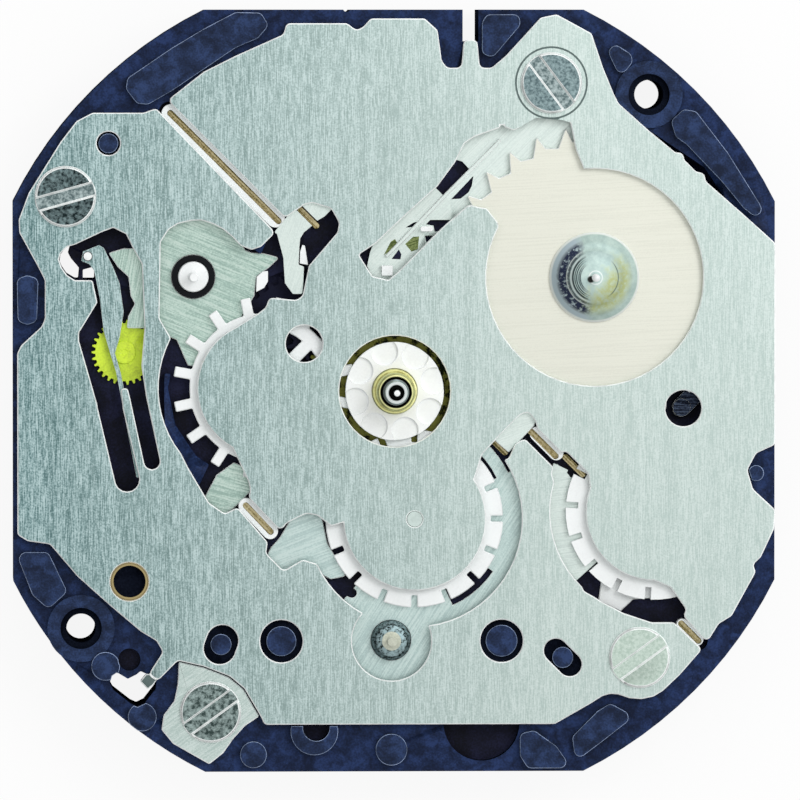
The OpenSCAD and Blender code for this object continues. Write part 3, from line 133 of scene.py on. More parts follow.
class MovementColours(PropertyGroup):
    # The left tones paint shade and the right tones paint light on the one nickel sheet
    plate_dark: colour("5A7A7B", "Plate dark", "Dark lines of the plates on the left")
    plate: colour("91AFB0", "Plate", "Ground tone of the plates on the left")
    plate_bright: colour("C2DBDC", "Plate bright", "Bright lines of the plates on the left")
    plate_lit_dark: colour("BBCDC8", "Calm dark", "Dark lines of the plates on the right")
    plate_lit: colour("CBDBD6", "Calm", "Ground tone of the plates on the right")
    plate_lit_bright: colour("DCEAE6", "Calm bright", "Bright lines of the plates on the right")
    lever_dark: colour("A0BAB0", "Lever dark", "Dark lines of the brushed levers")
    lever: colour("BAD3C8", "Lever", "Ground tone of the brushed levers")
    lever_bright: colour("D0E4DA", "Lever bright", "Bright lines of the brushed levers")
    # Near-white cut edges: their own frosting together with a painted highlight
    cut_edge: colour("F7FBFA", "Cut edge", "Broken edges of sheet parts")
    # Walls and pocket floors are the tops' resin in painted shade
    case_wall_shade: colour("10141F", "Case wall", "Walls of the dark moulded plastic")
    case_floor_shade: colour("14162A", "Case floor", "Floors of the pockets in the dark plastic")
    case_rim: colour("1B294A", "Case rim", "Open rim round the raised pads")
    case_top: colour("1F2D4B", "Case top", "Pads and studs of the dark plastic")
    # A painted highlight along the pads' edges
    case_edge_highlight: colour("7C8CAA", "Case edge", "Worn edges of the dark plastic")
    white: colour("F5F8F8", "White resin", "White moulded wheels")
    cream: colour("E3E4D8", "Cream disc", "Ground tone of the date wheel")
    green: colour("D2EC36", "Green resin", "Green moulded wheel")
    brass: colour("E6E6A8", "Brass", "Turned brass pipes")
    brass_dull: colour("AF9F73", "Dull brass", "Brass strips and bushes")
    steel: colour("C4CCCC", "Steel", "Turned and drawn steel")
    copper: colour("C26A38", "Copper", "Enamelled copper wire")


class MovementStudio(PropertyGroup):
    view_width: length(25.18, "View width", "Width of the camera's view at the plates")
    view_x: FloatProperty(
        name="View centre X", description="Middle of the view", unit="LENGTH", default=0.17 * MM
    )
    view_y: FloatProperty(
        name="View centre Y", description="Middle of the view", unit="LENGTH", default=-0.28 * MM
    )
    distance: length(350, "Camera distance", "Distance from the camera to the plates")
    lean: FloatProperty(
        name="Camera lean", description="Angle from straight above, to the upper left", unit="ROTATION",
        default=math.radians(3),
    )
    key: FloatProperty(name="Key light", description="Power of the key light in watts", default=0.05)
    sky: FloatProperty(name="Sky", description="Strength of the world light", default=0.86)


def blended(first, second, share):
    """A linear tone between two others."""
    return tuple(a + (b - a) * share for a, b in zip(first, second))


def add_node(tree, kind, inputs=None, **settings):
    """Adds a node with its settings, and sets or links its inputs by name or number."""
    node = tree.nodes.new(kind)
    for key, value in settings.items():
        setattr(node, key, value)
    for key, value in (inputs or {}).items():
        if isinstance(value, bpy.types.NodeSocket):
            tree.links.new(value, node.inputs[key])
        else:
            node.inputs[key].default_value = value
    return node


def rgba(tone, share=1.0):
    return (tone[0] * share, tone[1] * share, tone[2] * share, 1.0)


def blank(name, **inputs):
    """A new material with one Principled shader whose plain values are set."""
    material = bpy.data.materials.new(name)
    material.use_nodes = True
    tree = material.node_tree
    shader = tree.nodes["Principled BSDF"]
    for key, value in inputs.items():
        shader.inputs[key.replace("_", " ")].default_value = value
    material.diffuse_color = (0.7, 0.7, 0.7, 1)
    return material, tree, shader


def stops(node, *pairs):
    """Gives a colour ramp its stops: place and linear colour."""
    ramp = node.color_ramp
    while len(ramp.elements) > 1:
        ramp.elements.remove(ramp.elements[-1])
    ramp.elements[0].position = pairs[0][0]
    ramp.elements[0].color = rgba(pairs[0][1])
    for place, tone in pairs[1:]:
        ramp.elements.new(place).color = rgba(tone)
    return node.outputs["Color"]


def stretched(tree, place, angle, along, across, detail=3.0, roughness=0.6):
    """Noise drawn out along one direction, its cells along by across mm."""
    turned = add_node(
        tree, "ShaderNodeMapping",
        {"Vector": place, "Rotation": (0, 0, math.radians(angle)), "Scale": (along * MM, across * MM, MM)},
        vector_type="TEXTURE",
    )
    return add_node(
        tree, "ShaderNodeTexNoise",
        {"Vector": turned.outputs[0], "Scale": 1.0, "Detail": detail, "Roughness": roughness},
    ).outputs["Fac"]


def weighed(tree, *pairs):
    """Sum of sockets, each times its weight."""
    total = 0.0
    for socket, weight in pairs:
        added = add_node(tree, "ShaderNodeMath", {0: socket, 1: weight, 2: total}, operation="MULTIPLY_ADD")
        total = added.outputs[0]
    return total


def brushed_sheet(name, tones, far=None, angle=90, streak=0.03, run=0.6, spread=0.075, roughness=0.38):
    """Nickel-plated sheet brushed with a wire wheel: fine broken lines over faint wider bands and
    a little grain. tones are dark, ground and bright; far are those at the +X side, if they differ: painted
    light towards +X over painted shade towards -X."""
    material, tree, shader = blank(name, Metallic=1.0)
    place = add_node(tree, "ShaderNodeTexCoord").outputs["Object"]
    lines = stretched(tree, place, angle, run, streak)
    bands = stretched(tree, place, angle, 5.0, 0.28, detail=2.0)
    grain = add_node(tree, "ShaderNodeTexNoise", {"Vector": place, "Scale": 1 / (0.05 * MM), "Detail": 2.0})
    level = weighed(tree, (lines, 0.58), (bands, 0.14), (grain.outputs["Fac"], 0.28))
    shades = []
    for dark, ground, bright in (tones, far or tones):
        ramp = add_node(tree, "ShaderNodeValToRGB", {"Fac": level})
        shades.append(stops(ramp, (0.5 - spread, dark), (0.5, ground), (0.5 + spread, bright)))
    # From the left's tones to the far ones across X: painted shade turning to painted light
    side = add_node(tree, "ShaderNodeSeparateXYZ", {0: place}).outputs["X"]
    share = add_node(
        tree, "ShaderNodeMapRange", {"Value": side, "From Min": TONES_FROM * MM, "From Max": TONES_TO * MM}
    )
    tone = add_node(
        tree, "ShaderNodeMix", {0: share.outputs[0], 6: shades[0], 7: shades[1]}, data_type="RGBA"
    )
    tree.links.new(tone.outputs[2], shader.inputs["Base Color"])
    rough = add_node(
        tree, "ShaderNodeMapRange",
        {
            "Value": lines, "From Min": 0.3, "From Max": 0.7,
            "To Min": roughness + 0.08, "To Max": roughness - 0.06,
        },
    )
    tree.links.new(rough.outputs[0], shader.inputs["Roughness"])
    relief = add_node(tree, "ShaderNodeBump", {"Height": lines, "Strength": 0.1, "Distance": 0.003 * MM})
    tree.links.new(relief.outputs[0], shader.inputs["Normal"])
    return material


def cut_edge(name, tone):
    """Sheared and tumbled edge of nickel-plated sheet: frosted, so it stays bright from every side, a painted
    highlight along the edge over its own pale frosting.
    """
    material, tree, shader = blank(name, Metallic=0.15)
    place = add_node(tree, "ShaderNodeTexCoord").outputs["Object"]
    nicks = add_node(
        tree, "ShaderNodeTexNoise", {"Vector": place, "Scale": 1 / (0.3 * MM), "Detail": 3.0}
    ).outputs["Fac"]
    ramp = add_node(tree, "ShaderNodeValToRGB", {"Fac": nicks})
    worn = tuple(0.78 * c for c in tone)
    tree.links.new(stops(ramp, (0.3, worn), (0.5, tone)), shader.inputs["Base Color"])
    rough = add_node(tree, "ShaderNodeMapRange", {"Value": nicks, "To Min": 0.3, "To Max": 0.5})
    tree.links.new(rough.outputs[0], shader.inputs["Roughness"])
    return material


def moulded(name, tone, roughness=0.42, cloud=1.2, lift=1.25, drop=0.8, bump=0.15, gloss=0.5):
    """Injection-moulded resin: a spark-eroded grain of 0.06 mm and a faint cloudiness from the flow,
    its clouds cloud mm wide, lift times as light as the tone and drop times as dark."""
    material, tree, shader = blank(name, Specular_IOR_Level=gloss)
    place = add_node(tree, "ShaderNodeTexCoord").outputs["Object"]
    fine = add_node(
        tree, "ShaderNodeTexNoise", {"Vector": place, "Scale": 1 / (0.06 * MM), "Detail": 2.0}
    ).outputs["Fac"]
    flow = add_node(
        tree, "ShaderNodeTexNoise",
        {"Vector": place, "Scale": 1 / (cloud * MM), "Detail": 4.0, "Distortion": 0.6},
    ).outputs["Fac"]
    ramp = add_node(tree, "ShaderNodeValToRGB", {"Fac": weighed(tree, (flow, 0.65), (fine, 0.35))})
    light = tuple(min(1.0, lift * c) for c in tone)
    dark = tuple(drop * c for c in tone)
    tree.links.new(stops(ramp, (0.38, dark), (0.5, tone), (0.62, light)), shader.inputs["Base Color"])
    rough = add_node(
        tree, "ShaderNodeMapRange", {"Value": flow, "To Min": roughness - 0.12, "To Max": roughness + 0.12}
    )
    tree.links.new(rough.outputs[0], shader.inputs["Roughness"])
    relief = add_node(tree, "ShaderNodeBump", {"Height": fine, "Strength": bump, "Distance": 0.01 * MM})
    tree.links.new(relief.outputs[0], shader.inputs["Normal"])
    return material


def turned_metal(name, tone, centre=(0, 0), roughness=0.26, ring=0.05, contrast=0.35, blotch=0.0, dark=None,
                 spread=0.14, spot=0.28):
    """Bar-turned metal: rings from the lathe tool round the axis at centre, in mm, each about ring
    wide. blotch is the share of uneven spots, about spot mm wide, from oil or tarnish."""
    material, tree, shader = blank(name, Metallic=1.0)
    place = add_node(tree, "ShaderNodeTexCoord").outputs["Object"]
    from_axis = add_node(
        tree, "ShaderNodeVectorMath", {0: place, 1: (-centre[0] * MM, -centre[1] * MM, 0)}, operation="ADD"
    ).outputs[0]
    flat = add_node(tree, "ShaderNodeVectorMath", {0: from_axis, 1: (1, 1, 0)}, operation="MULTIPLY")
    radius = add_node(tree, "ShaderNodeVectorMath", {0: flat.outputs[0]}, operation="LENGTH")
    height = add_node(tree, "ShaderNodeSeparateXYZ", {0: place}).outputs["Z"]
    reach = add_node(tree, "ShaderNodeCombineXYZ", {0: radius.outputs["Value"], 1: height})
    rings = add_node(
        tree, "ShaderNodeTexNoise", {"Vector": reach.outputs[0], "Scale": 1 / (ring * MM), "Detail": 2.0}
    ).outputs["Fac"]
    spots = add_node(
        tree, "ShaderNodeTexNoise",
        {"Vector": place, "Scale": 1 / (spot * MM), "Detail": 5.0, "Roughness": 0.7},
    ).outputs["Fac"]
    level = weighed(tree, (rings, 1 - blotch), (spots, blotch))
    ramp = add_node(tree, "ShaderNodeValToRGB", {"Fac": level})
    low = dark or tuple((1 - contrast) * c for c in tone)
    light = tuple(min(1, c * (1 + contrast / 2)) for c in tone)
    tree.links.new(
        stops(ramp, (0.5 - spread, low), (0.5, tone), (0.5 + spread, light)), shader.inputs["Base Color"]
    )
    rough = add_node(
        tree, "ShaderNodeMapRange", {"Value": rings, "To Min": roughness - 0.1, "To Max": roughness + 0.14}
    )
    tree.links.new(rough.outputs[0], shader.inputs["Roughness"])
    relief = add_node(tree, "ShaderNodeBump", {"Height": rings, "Strength": 0.2, "Distance": 0.006 * MM})
    tree.links.new(relief.outputs[0], shader.inputs["Normal"])
    return material


def tarnish_and_reflections(name, centre, size):
    """Turned steel, its heat film's tint under painted reflections that lie by side as the light falls:
    blue-black blots and arcs on the left, straw at the lower right, a pale rim as a painted highlight. size is
    the radius of the piece in mm."""
    material, tree, shader = blank(name, Metallic=0.3, Roughness=0.6)
    place = add_node(tree, "ShaderNodeTexCoord").outputs["Object"]
    offset = add_node(
        tree, "ShaderNodeVectorMath", {0: place, 1: (-centre[0] * MM, -centre[1] * MM, 0)}, operation="ADD"
    ).outputs[0]
    scale = 1 / (size * MM)
    flat = add_node(
        tree, "ShaderNodeVectorMath", {0: offset, 1: (scale, scale, 0)}, operation="MULTIPLY"
    ).outputs[0]
    radius = add_node(tree, "ShaderNodeVectorMath", {0: flat}, operation="LENGTH").outputs["Value"]
    split = add_node(tree, "ShaderNodeSeparateXYZ", {0: flat})
    across, up = split.outputs["X"], split.outputs["Y"]
    rings = add_node(
        tree, "ShaderNodeTexNoise", {"W": radius, "Scale": 24.0, "Detail": 2.0}, noise_dimensions="1D"
    ).outputs["Fac"]
    blots, cloud = (
        add_node(
            tree, "ShaderNodeTexNoise", {"Vector": flat, "Scale": fineness, "Detail": 5.0, "Roughness": 0.7}
        ).outputs["Fac"]
        for fineness in (9.0, 4.0)
    )

    def mask(socket, *pairs):
        ramp = add_node(tree, "ShaderNodeValToRGB", {"Fac": socket})
        return stops(ramp, *((at, (share, share, share)) for at, share in pairs))

    def line(*radii, half=0.018):
        return mask(
            radius, *(pair for at in radii for pair in ((at - half, 0.0), (at, 1.0), (at + half, 0.0)))
        )

    def all_of(*sockets):
        share = 1.0
        for socket in sockets:
            share = add_node(tree, "ShaderNodeMath", {0: share, 1: socket}, operation="MULTIPLY").outputs[0]
        return share

    # Where the painted reflections lie: by side, and in bands of radius
    left = mask(weighed(tree, (across, -1.0), (up, -0.12), (blots, 0.3)), (0.3, 0.0), (0.5, 1.0))
    right = mask(weighed(tree, (across, 1.0), (up, -0.1)), (0.3, 0.0), (0.42, 1.0))
    near = mask(radius, (0.3, 0.0), (0.34, 1.0), (0.52, 1.0), (0.56, 0.0))
    outer = mask(radius, (0.56, 0.0), (0.64, 1.0), (0.8, 1.0), (0.88, 0.0))
    lower = mask(weighed(tree, (across, 0.45), (up, -0.4), (cloud, 0.8)), (0.36, 0.0), (0.64, 1.0))
    straw = mask(radius, (0.14, 0.0), (0.3, 1.0), (0.7, 1.0), (0.88, 0.0))
    hole_shade_spot = add_node(
        tree, "ShaderNodeVectorMath", {0: flat, 1: (-0.11, -0.04, 0)}, operation="DISTANCE"
    ).outputs["Value"]
    ground = add_node(
        tree, "ShaderNodeMix",
        {0: mask(cloud, (0.4, 0.0), (0.62, 1.0)), 6: rgba(from_hex("B4CCC8")), 7: rgba(from_hex("CDE2DC"))},
        data_type="RGBA",
    )
    tone = ground.outputs[2]
    # Painted reflections and highlights, placed by side as the light falls, over the film's tint: a paler left
    # rim, straw at the lower right, dark blots and arcs with a white arc on the left, a dark arc on the right,
    # a white rim and a white ring round the centre; last a black spot, painted shade in a hole
    for share, shade in (
        (all_of(left, mask(radius, (0.55, 0.0), (0.8, 1.0))), "C0D2DB"),
        (all_of(lower, straw, mask(blots, (0.34, 0.4), (0.56, 1.0))), "B7C088"),
        (all_of(left, near, mask(rings, (0.47, 0.95), (0.57, 0.0))), "22343A"),
        (all_of(left, outer, mask(blots, (0.37, 0.0), (0.48, 1.0))), "1B2747"),
        (all_of(left, line(0.51, 0.6)), "1E2A2E"),
        (all_of(left, line(0.555, 0.645)), "E6F0EE"),
        (all_of(right, line(0.51)), "4E6462"),
        (mask(radius, (0.955, 0.0), (0.98, 1.0)), "F4F9F6"),
        (mask(radius, (0.13, 0.0), (0.15, 1.0), (0.17, 0.0)), "F0F6F4"),
        (mask(hole_shade_spot, (0.06, 1.0), (0.09, 0.0)), "10120E"),
    ):
        laid = add_node(tree, "ShaderNodeMix", {0: share, 6: tone, 7: rgba(from_hex(shade))}, data_type="RGBA")
        tone = laid.outputs[2]
    tree.links.new(tone, shader.inputs["Base Color"])
    relief = add_node(tree, "ShaderNodeBump", {"Height": rings, "Strength": 0.3, "Distance": 0.006 * MM})
    tree.links.new(relief.outputs[0], shader.inputs["Normal"])
    return material


def pitted_steel(name, light, dark, pit=0.13):
    """Hardened screw steel, etched before plating: dark pits of pit mm on a pale face."""
    material, tree, shader = blank(name, Metallic=1.0, Roughness=0.4)
    place = add_node(tree, "ShaderNodeTexCoord").outputs["Object"]
    pits = add_node(
        tree, "ShaderNodeTexNoise", {"Vector": place, "Scale": 1 / (pit * MM), "Detail": 4.0, "Roughness": 0.7}
    ).outputs["Fac"]
    ramp = add_node(tree, "ShaderNodeValToRGB", {"Fac": pits})
    middle = blended(light, dark, 0.5)
    tree.links.new(stops(ramp, (0.4, dark), (0.5, middle), (0.64, light)), shader.inputs["Base Color"])
    relief = add_node(tree, "ShaderNodeBump", {"Height": pits, "Strength": 0.3, "Distance": 0.012 * MM})
    tree.links.new(relief.outputs[0], shader.inputs["Normal"])
    return material


def wound_wire(name, tone, wire=0.09):
    """Enamelled copper wire wound along X: turns of wire mm side by side under a clear coat. The
    real wire of about 0.02 mm would be too fine to show."""
    material, tree, shader = blank(name, Metallic=1.0, Roughness=0.3, Coat_Weight=0.6)
    place = add_node(tree, "ShaderNodeTexCoord").outputs["Object"]
    turns = add_node(
        tree, "ShaderNodeTexWave", {"Vector": place, "Scale": 1 / (wire * MM) / math.tau, "Distortion": 0.4},
        wave_type="BANDS", bands_direction="X",
    ).outputs["Fac"]
    ramp = add_node(tree, "ShaderNodeValToRGB", {"Fac": turns})
    groove = tuple(0.35 * c for c in tone)
    tree.links.new(stops(ramp, (0.0, groove), (0.6, tone)), shader.inputs["Base Color"])
    relief = add_node(tree, "ShaderNodeBump", {"Height": turns, "Strength": 0.6, "Distance": 0.03 * MM})
    tree.links.new(relief.outputs[0], shader.inputs["Normal"])
    return material


Look = namedtuple("Look", "x y z up near far")


def looked_at(face, axis):
    """A face's middle in mm, how far it faces up, and its nearest and farthest point from an axis."""
    middle = face.calc_center_median() / MM
    reach = [math.hypot(v.co.x / MM - axis[0], v.co.y / MM - axis[1]) for v in face.verts]
    return Look(*middle, face.normal.z, min(reach), max(reach))


def trimmed(node, edge, surfaces, pick=None, edge_slot=None, axis=(0, 0), clamp=True, merge=0.0015,
            spared=None):
    """A copy of a CAD node with its sharp edges broken. It stands for the node and rides on its
    body. surfaces are its materials, pick gives a face's slot and edge_slot the broken edges'.
    Points nearer than merge mm are joined, and edges with a point that spared names stay sharp."""
    source = frame["nodes"][node]
    mesh = bpy.data.meshes.new(node + "_piece")
    work = bmesh.new()
    work.from_mesh(source.data)
    bmesh.ops.remove_doubles(work, verts=work.verts, dist=merge * MM)
    if edge:
        bmesh.ops.dissolve_limit(work, angle_limit=math.radians(1), verts=work.verts, edges=work.edges)
    for face in work.faces:
        face.smooth = True
        face.material_index = 0
    if pick:
        for face in work.faces:
            face.material_index = pick(looked_at(face, axis))
    sharp = [e for e in work.edges if len(e.link_faces) == 2 and e.calc_face_angle(0) > BROKEN_FROM]
    if spared:
        sharp = [e for e in sharp if not any(spared(v.co / MM) for v in e.verts)]
    if edge:
        bmesh.ops.bevel(
            work, geom=sharp, offset=edge, offset_type="OFFSET", segments=1, profile=0.5, affect="EDGES",
            clamp_overlap=clamp, material=-1 if edge_slot is None else edge_slot,
        )
    work.to_mesh(mesh)
    work.free()
    for material in surfaces:
        mesh.materials.append(material)
    mesh.set_sharp_from_angle(angle=SHADED_SHARP_FROM)
    piece = bpy.data.objects.new(node + "_piece", mesh)
    bpy.context.scene.collection.objects.link(piece)
    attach(piece, source["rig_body"])
    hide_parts(node)
    return piece


def finish_node(node, material):
    """Keeps a CAD node and gives it a material."""
    mesh = frame["nodes"][node].data
    mesh.materials.clear()
    mesh.materials.append(material)


class MOVEMENT_OT_case(Operator):
    """Dresses the dark moulded main plate: its walls, pocket floors and covered faces in painted shade, its
    tops, and its edges with a painted highlight
    """

    bl_idname = "movement.case"
    bl_label = "Main plate"

    def execute(self, context):
        edges, tones = context.scene.movement_edges, context.scene.movement_colours
        wall, floor, top, edge, post, rim = range(6)
        surfaces = [
            moulded("PPS_moulded_" + kind, tuple(tone), roughness, cloud, lift, drop, gloss=gloss)
            for kind, tone, roughness, cloud, lift, drop, gloss in (
                ("wall", tones.case_wall_shade, 0.45, 1.6, 1.6, 0.5, 0),
                ("floor", tones.case_floor_shade, 0.5, 1.0, 2.0, 0.4, 0.1),
                ("top", tones.case_top, 0.5, 0.45, 1.9, 0.5, 0.12),
                ("edge", tones.case_edge_highlight, 0.4, 0.5, 1.5, 0.5, 0.3),
                ("rim", tones.case_rim, 0.5, 0.45, 1.8, 0.5, 0.1),
            )
        ]
        surfaces.insert(post, cut_edge("Post_tops_burnished", tuple(tones.cut_edge)))

        # Walls, pocket floors, the feet's counterbores and the plates' seat take the darker tones: painted
        # shade
        def pick(look):
            if look.up < FACES_UP:
                return wall
            if look.z < POCKET_TOP:
                return floor
            if math.dist((look.x, look.y), BLADE_POST) < POST_R:
                return post
            if abs(look.z - RIM_FACE) < SAME_HEIGHT:
                return rim
            return wall if any(abs(look.z - z) < SAME_HEIGHT for z in COVERED_FACES) else top

        trimmed(
            "main_plate", edges.case, surfaces, pick, edge_slot=edge, clamp=False,
            spared=lambda at: at.z < PADS_FROM,
        )
        return {"FINISHED"}


def plate_tones(tones):
    """The plates' dark, ground and bright lines, on the left as painted shade and on the right as painted
    light.
    """
    left = [tuple(t) for t in (tones.plate_dark, tones.plate, tones.plate_bright)]
    return left, [tuple(t) for t in (tones.plate_lit_dark, tones.plate_lit, tones.plate_lit_bright)]


class MOVEMENT_OT_plates(Operator):
    """Dresses the dial-side plates and the screw bracket"""

    bl_idname = "movement.plates"
    bl_label = "Dial-side plates"

    def execute(self, context):
        edges, tones = context.scene.movement_edges, context.scene.movement_colours
        left, right = plate_tones(tones)
        # The plates turn from painted shade on the left to painted light on the right
        upright = brushed_sheet("Nickel_sheet_brushed", left, right)
        slanted = brushed_sheet("Nickel_bracket_brushed", right, angle=35, streak=0.05)
        edge = cut_edge("Nickel_cut_edge", tuple(tones.cut_edge))
        # A dark tone on the ring's shallow floor: painted shade in the groove
        scribed = cut_edge("Nickel_scribed_line", from_hex("5C6E6C"))
        low, high = SCRIBED_RING
        # The lower plate's outline has steps so short that the chamfer would turn them inside out
        for node, face, merge in (
            ("upper_plate", upright, 0.0015),
            ("lower_plate", upright, 0.02),
            ("screw_bracket", slanted, 0.0015),
        ):
            trimmed(
                node, edges.plate, [face, edge, scribed],
                lambda look: 2 if look.up > FACES_UP and low < look.z < high else 0,
                edge_slot=1, clamp=False, merge=merge,
                spared=lambda at: math.dist(at.xy, SCREW_PLACES[TOP_SCREW]) < SCRIBED_RING_R,
            )
        return {"FINISHED"}


class MOVEMENT_OT_levers(Operator):
    """Dresses the jumpers, claws, springs and the long blade"""

    bl_idname = "movement.levers"
    bl_label = "Levers and springs"

    def execute(self, context):
        edges, tones = context.scene.movement_edges, context.scene.movement_colours
        lines = [tuple(t) for t in (tones.lever_dark, tones.lever, tones.lever_bright)]
        # The pale and clear tones are lighter copies of the lever tones, painted light for the levers that lie
        # in the plates' shade
        shades = {
            "brushed": lines,
            "pale": [blended(line, from_hex("F6FCFA"), 0.55) for line in lines],
            "clear": [blended(line, from_hex("E4F4FC"), 0.32) for line in lines],
        }
        edge = cut_edge("Spring_steel_edge", tuple(tones.cut_edge))
        pressed = brushed_sheet(
            "Spring_steel_pressed", [from_hex(t) for t in ("4E5B35", "6A7847", "8F9B66")], angle=20
        )
        made = {}
        for node, angle, kind in (
            ("jumper_left", -22, "brushed"), ("jumper_bottom", 57, "clear"), ("jumper_right", 8, "pale"),
            ("slot_claw", 70, "pale"), ("lower_claw", 20, "clear"), ("corner_claw", -15, "brushed"),
            ("date_jumper", 45, "pale"), ("stop_lever", 80, "brushed"), ("spring_finger", 20, "pale"),
            ("jumper_wire", 45, "pale"),
        ):
            if (angle, kind) not in made:
                made[angle, kind] = brushed_sheet(
                    f"Spring_steel_{kind}_{angle % 180}", shades[kind], angle=angle, streak=0.05, run=1.2
                )
            # The floors of the date jumper's stamped hollows take a darker olive tone
            hollow = HOLLOW_TOP if node == "date_jumper" else 0
            trimmed(
                node, edges.lever, [made[angle, kind], edge, pressed],
                lambda look: 2 if look.up > FACES_UP and look.z < hollow else 0, edge_slot=1,
            )
        # The blade turns from painted shade on the left to painted light on the right, as the plates do
        left, right = plate_tones(tones)
        blade = brushed_sheet("Blade_brushed", left, right, angle=96)
        trimmed("blade_lever", edges.lever, [blade, edge], edge_slot=1)
        return {"FINISHED"}


class MOVEMENT_OT_resin(Operator):
    """Dresses the white index wheels, spacer, cam, liners and setting wheels, and the green wheel"""

    bl_idname = "movement.resin"
    bl_label = "Resin wheels"

    def execute(self, context):
        edges, tones = context.scene.movement_edges, context.scene.movement_colours
        white = moulded(
            "Acetal_moulded_white", tuple(tones.white), roughness=0.4, lift=1.02, drop=0.95, bump=0.05,
            gloss=0.3,
        )
        green = moulded(
            "Acetal_moulded_green", tuple(tones.green), roughness=0.4, cloud=0.4, lift=1.15, drop=0.75
        )
        for node in (
            "index_wheel_left", "index_wheel_centre", "index_wheel_right", "white_spacer", "hour_cam",
            "slot_liners", "left_hand_wheel", "near_setting_wheel", "far_setting_wheel",
        ):
            trimmed(node, edges.resin, [white])
        # The motion wheel takes the pocket floors' tone, painted shade for its window, so that little of it
        # shows through
        black = moulded("Acetal_moulded_black", tuple(tones.case_floor_shade), roughness=0.5, gloss=0.1)
        trimmed("motion_wheel", edges.gear, [black])
        trimmed("green_wheel", edges.resin, [green])
        return {"FINISHED"}


class MOVEMENT_OT_date(Operator):
    """Dresses the cream date wheel and its turned hub"""

    bl_idname = "movement.date"
    bl_label = "Date wheel"

    def execute(self, context):
        edges, tones = context.scene.movement_edges, context.scene.movement_colours
        cream = tuple(tones.cream)
        disc = brushed_sheet(
            "Date_disc_brushed", [tuple(k * c for c in cream) for k in (0.95, 1.0, 1.02)],
            angle=3, streak=0.05, run=2.5, roughness=0.45,
        )
        edge = cut_edge("Date_disc_edge", tuple(tones.cut_edge))
        trimmed("date_wheel", edges.lever, [disc, edge], edge_slot=1)
        # The hub carries painted reflections and highlights over its heat film's tint
        trimmed(
            "date_hub", 0, [tarnish_and_reflections("Hub_steel_tarnished", DATE_AXIS, 1.4), edge],
            lambda look: 1 if look.z > DATE_HUB_TOP else 0,
        )
        return {"FINISHED"}


class MOVEMENT_OT_hands(Operator):
    """Dresses the pipes and arbors that the hands sit on"""

    bl_idname = "movement.hands"
    bl_label = "Hand fits"

    def execute(self, context):
        edges, tones = context.scene.movement_edges, context.scene.movement_colours
        brass, dull, steel = tuple(tones.brass), tuple(tones.brass_dull), tuple(tones.steel)
        # Painted shade: near-black in the bores and down the shoulder, a dark olive brass with black blotches
        # on the gear's face in the gap
        bore = moulded("Bore_oiled_black", from_hex("060807"), gloss=0.05)
        painted_shade = turned_metal(
            "Brass_gear_oiled", from_hex("6A6B34"), roughness=0.4, blotch=0.85, dark=from_hex("14180E"),
            spread=0.07,
        )
        pipe = turned_metal("Brass_turned", brass, roughness=0.4, blotch=0.3, dark=from_hex("8C8440"))
        hour_bore_r = 0.5
        trimmed(
            "hour_wheel", edges.gear, [pipe, painted_shade, bore],
            lambda look: 2 if look.far < hour_bore_r else 1 if look.z < GEAR_TOP else 0,
        )
        pipe = turned_metal("Steel_pipe_turned", from_hex("EAF2F0"), roughness=0.3, dark=from_hex("6E7C7C"))
        minute_bore_r, shoulder_r = 0.25, 0.4

        def in_shade(look):
            """The minute pipe's bore, and its shoulder down in the hour pipe."""
            shoulder = look.up > 0.5 and look.near > shoulder_r and look.z < PIPE_SHOULDER_TOP
            return 1 if look.far < minute_bore_r or shoulder else 0

        trimmed("centre_wheel", edges.gear, [pipe, bore], in_shade)
        arbor = turned_metal("Steel_arbor_turned", steel, roughness=0.2)
        trimmed(
            "seconds_wheel", edges.gear, [arbor, cut_edge("Arbor_tip_lapped", tuple(tones.cut_edge))],
            lambda look: 1 if look.up > FACES_UP and look.z > ARBOR_TIP else 0,
        )
        rough = turned_metal(
            "Steel_hub_rough", from_hex("8A9EA1"), centre=BOTTOM_AXIS, roughness=0.5, ring=0.09, contrast=0.9,
            blotch=0.8, dark=from_hex("16221F"), spread=0.07, spot=0.09,
        )
        cream_disc_r = 0.32
        trimmed(
            "bottom_hand_wheel", edges.gear,
            [rough, moulded("Hub_centre_cream", from_hex("C9CDBD"), gloss=0.2)],
            lambda look: 1 if look.far < cream_disc_r else 0, axis=BOTTOM_AXIS,
        )
        trimmed("left_collar", edges.gear, [moulded("Collar_black", from_hex("101216"), gloss=0.1)])
        for node in ("centre_bush", "side_bush"):
            bush = turned_metal("Brass_dull_" + node, dull, centre=(-8.35, -5.98), roughness=0.34)
            trimmed(node, edges.gear, [bush])
        strip = brushed_sheet(
            "Brass_strip_drawn", [from_hex("6B6338"), dull, from_hex("CFC49C")], angle=-45, streak=0.045,
            run=3,
        )
        trimmed("brass_strips", edges.gear, [strip])
        return {"FINISHED"}


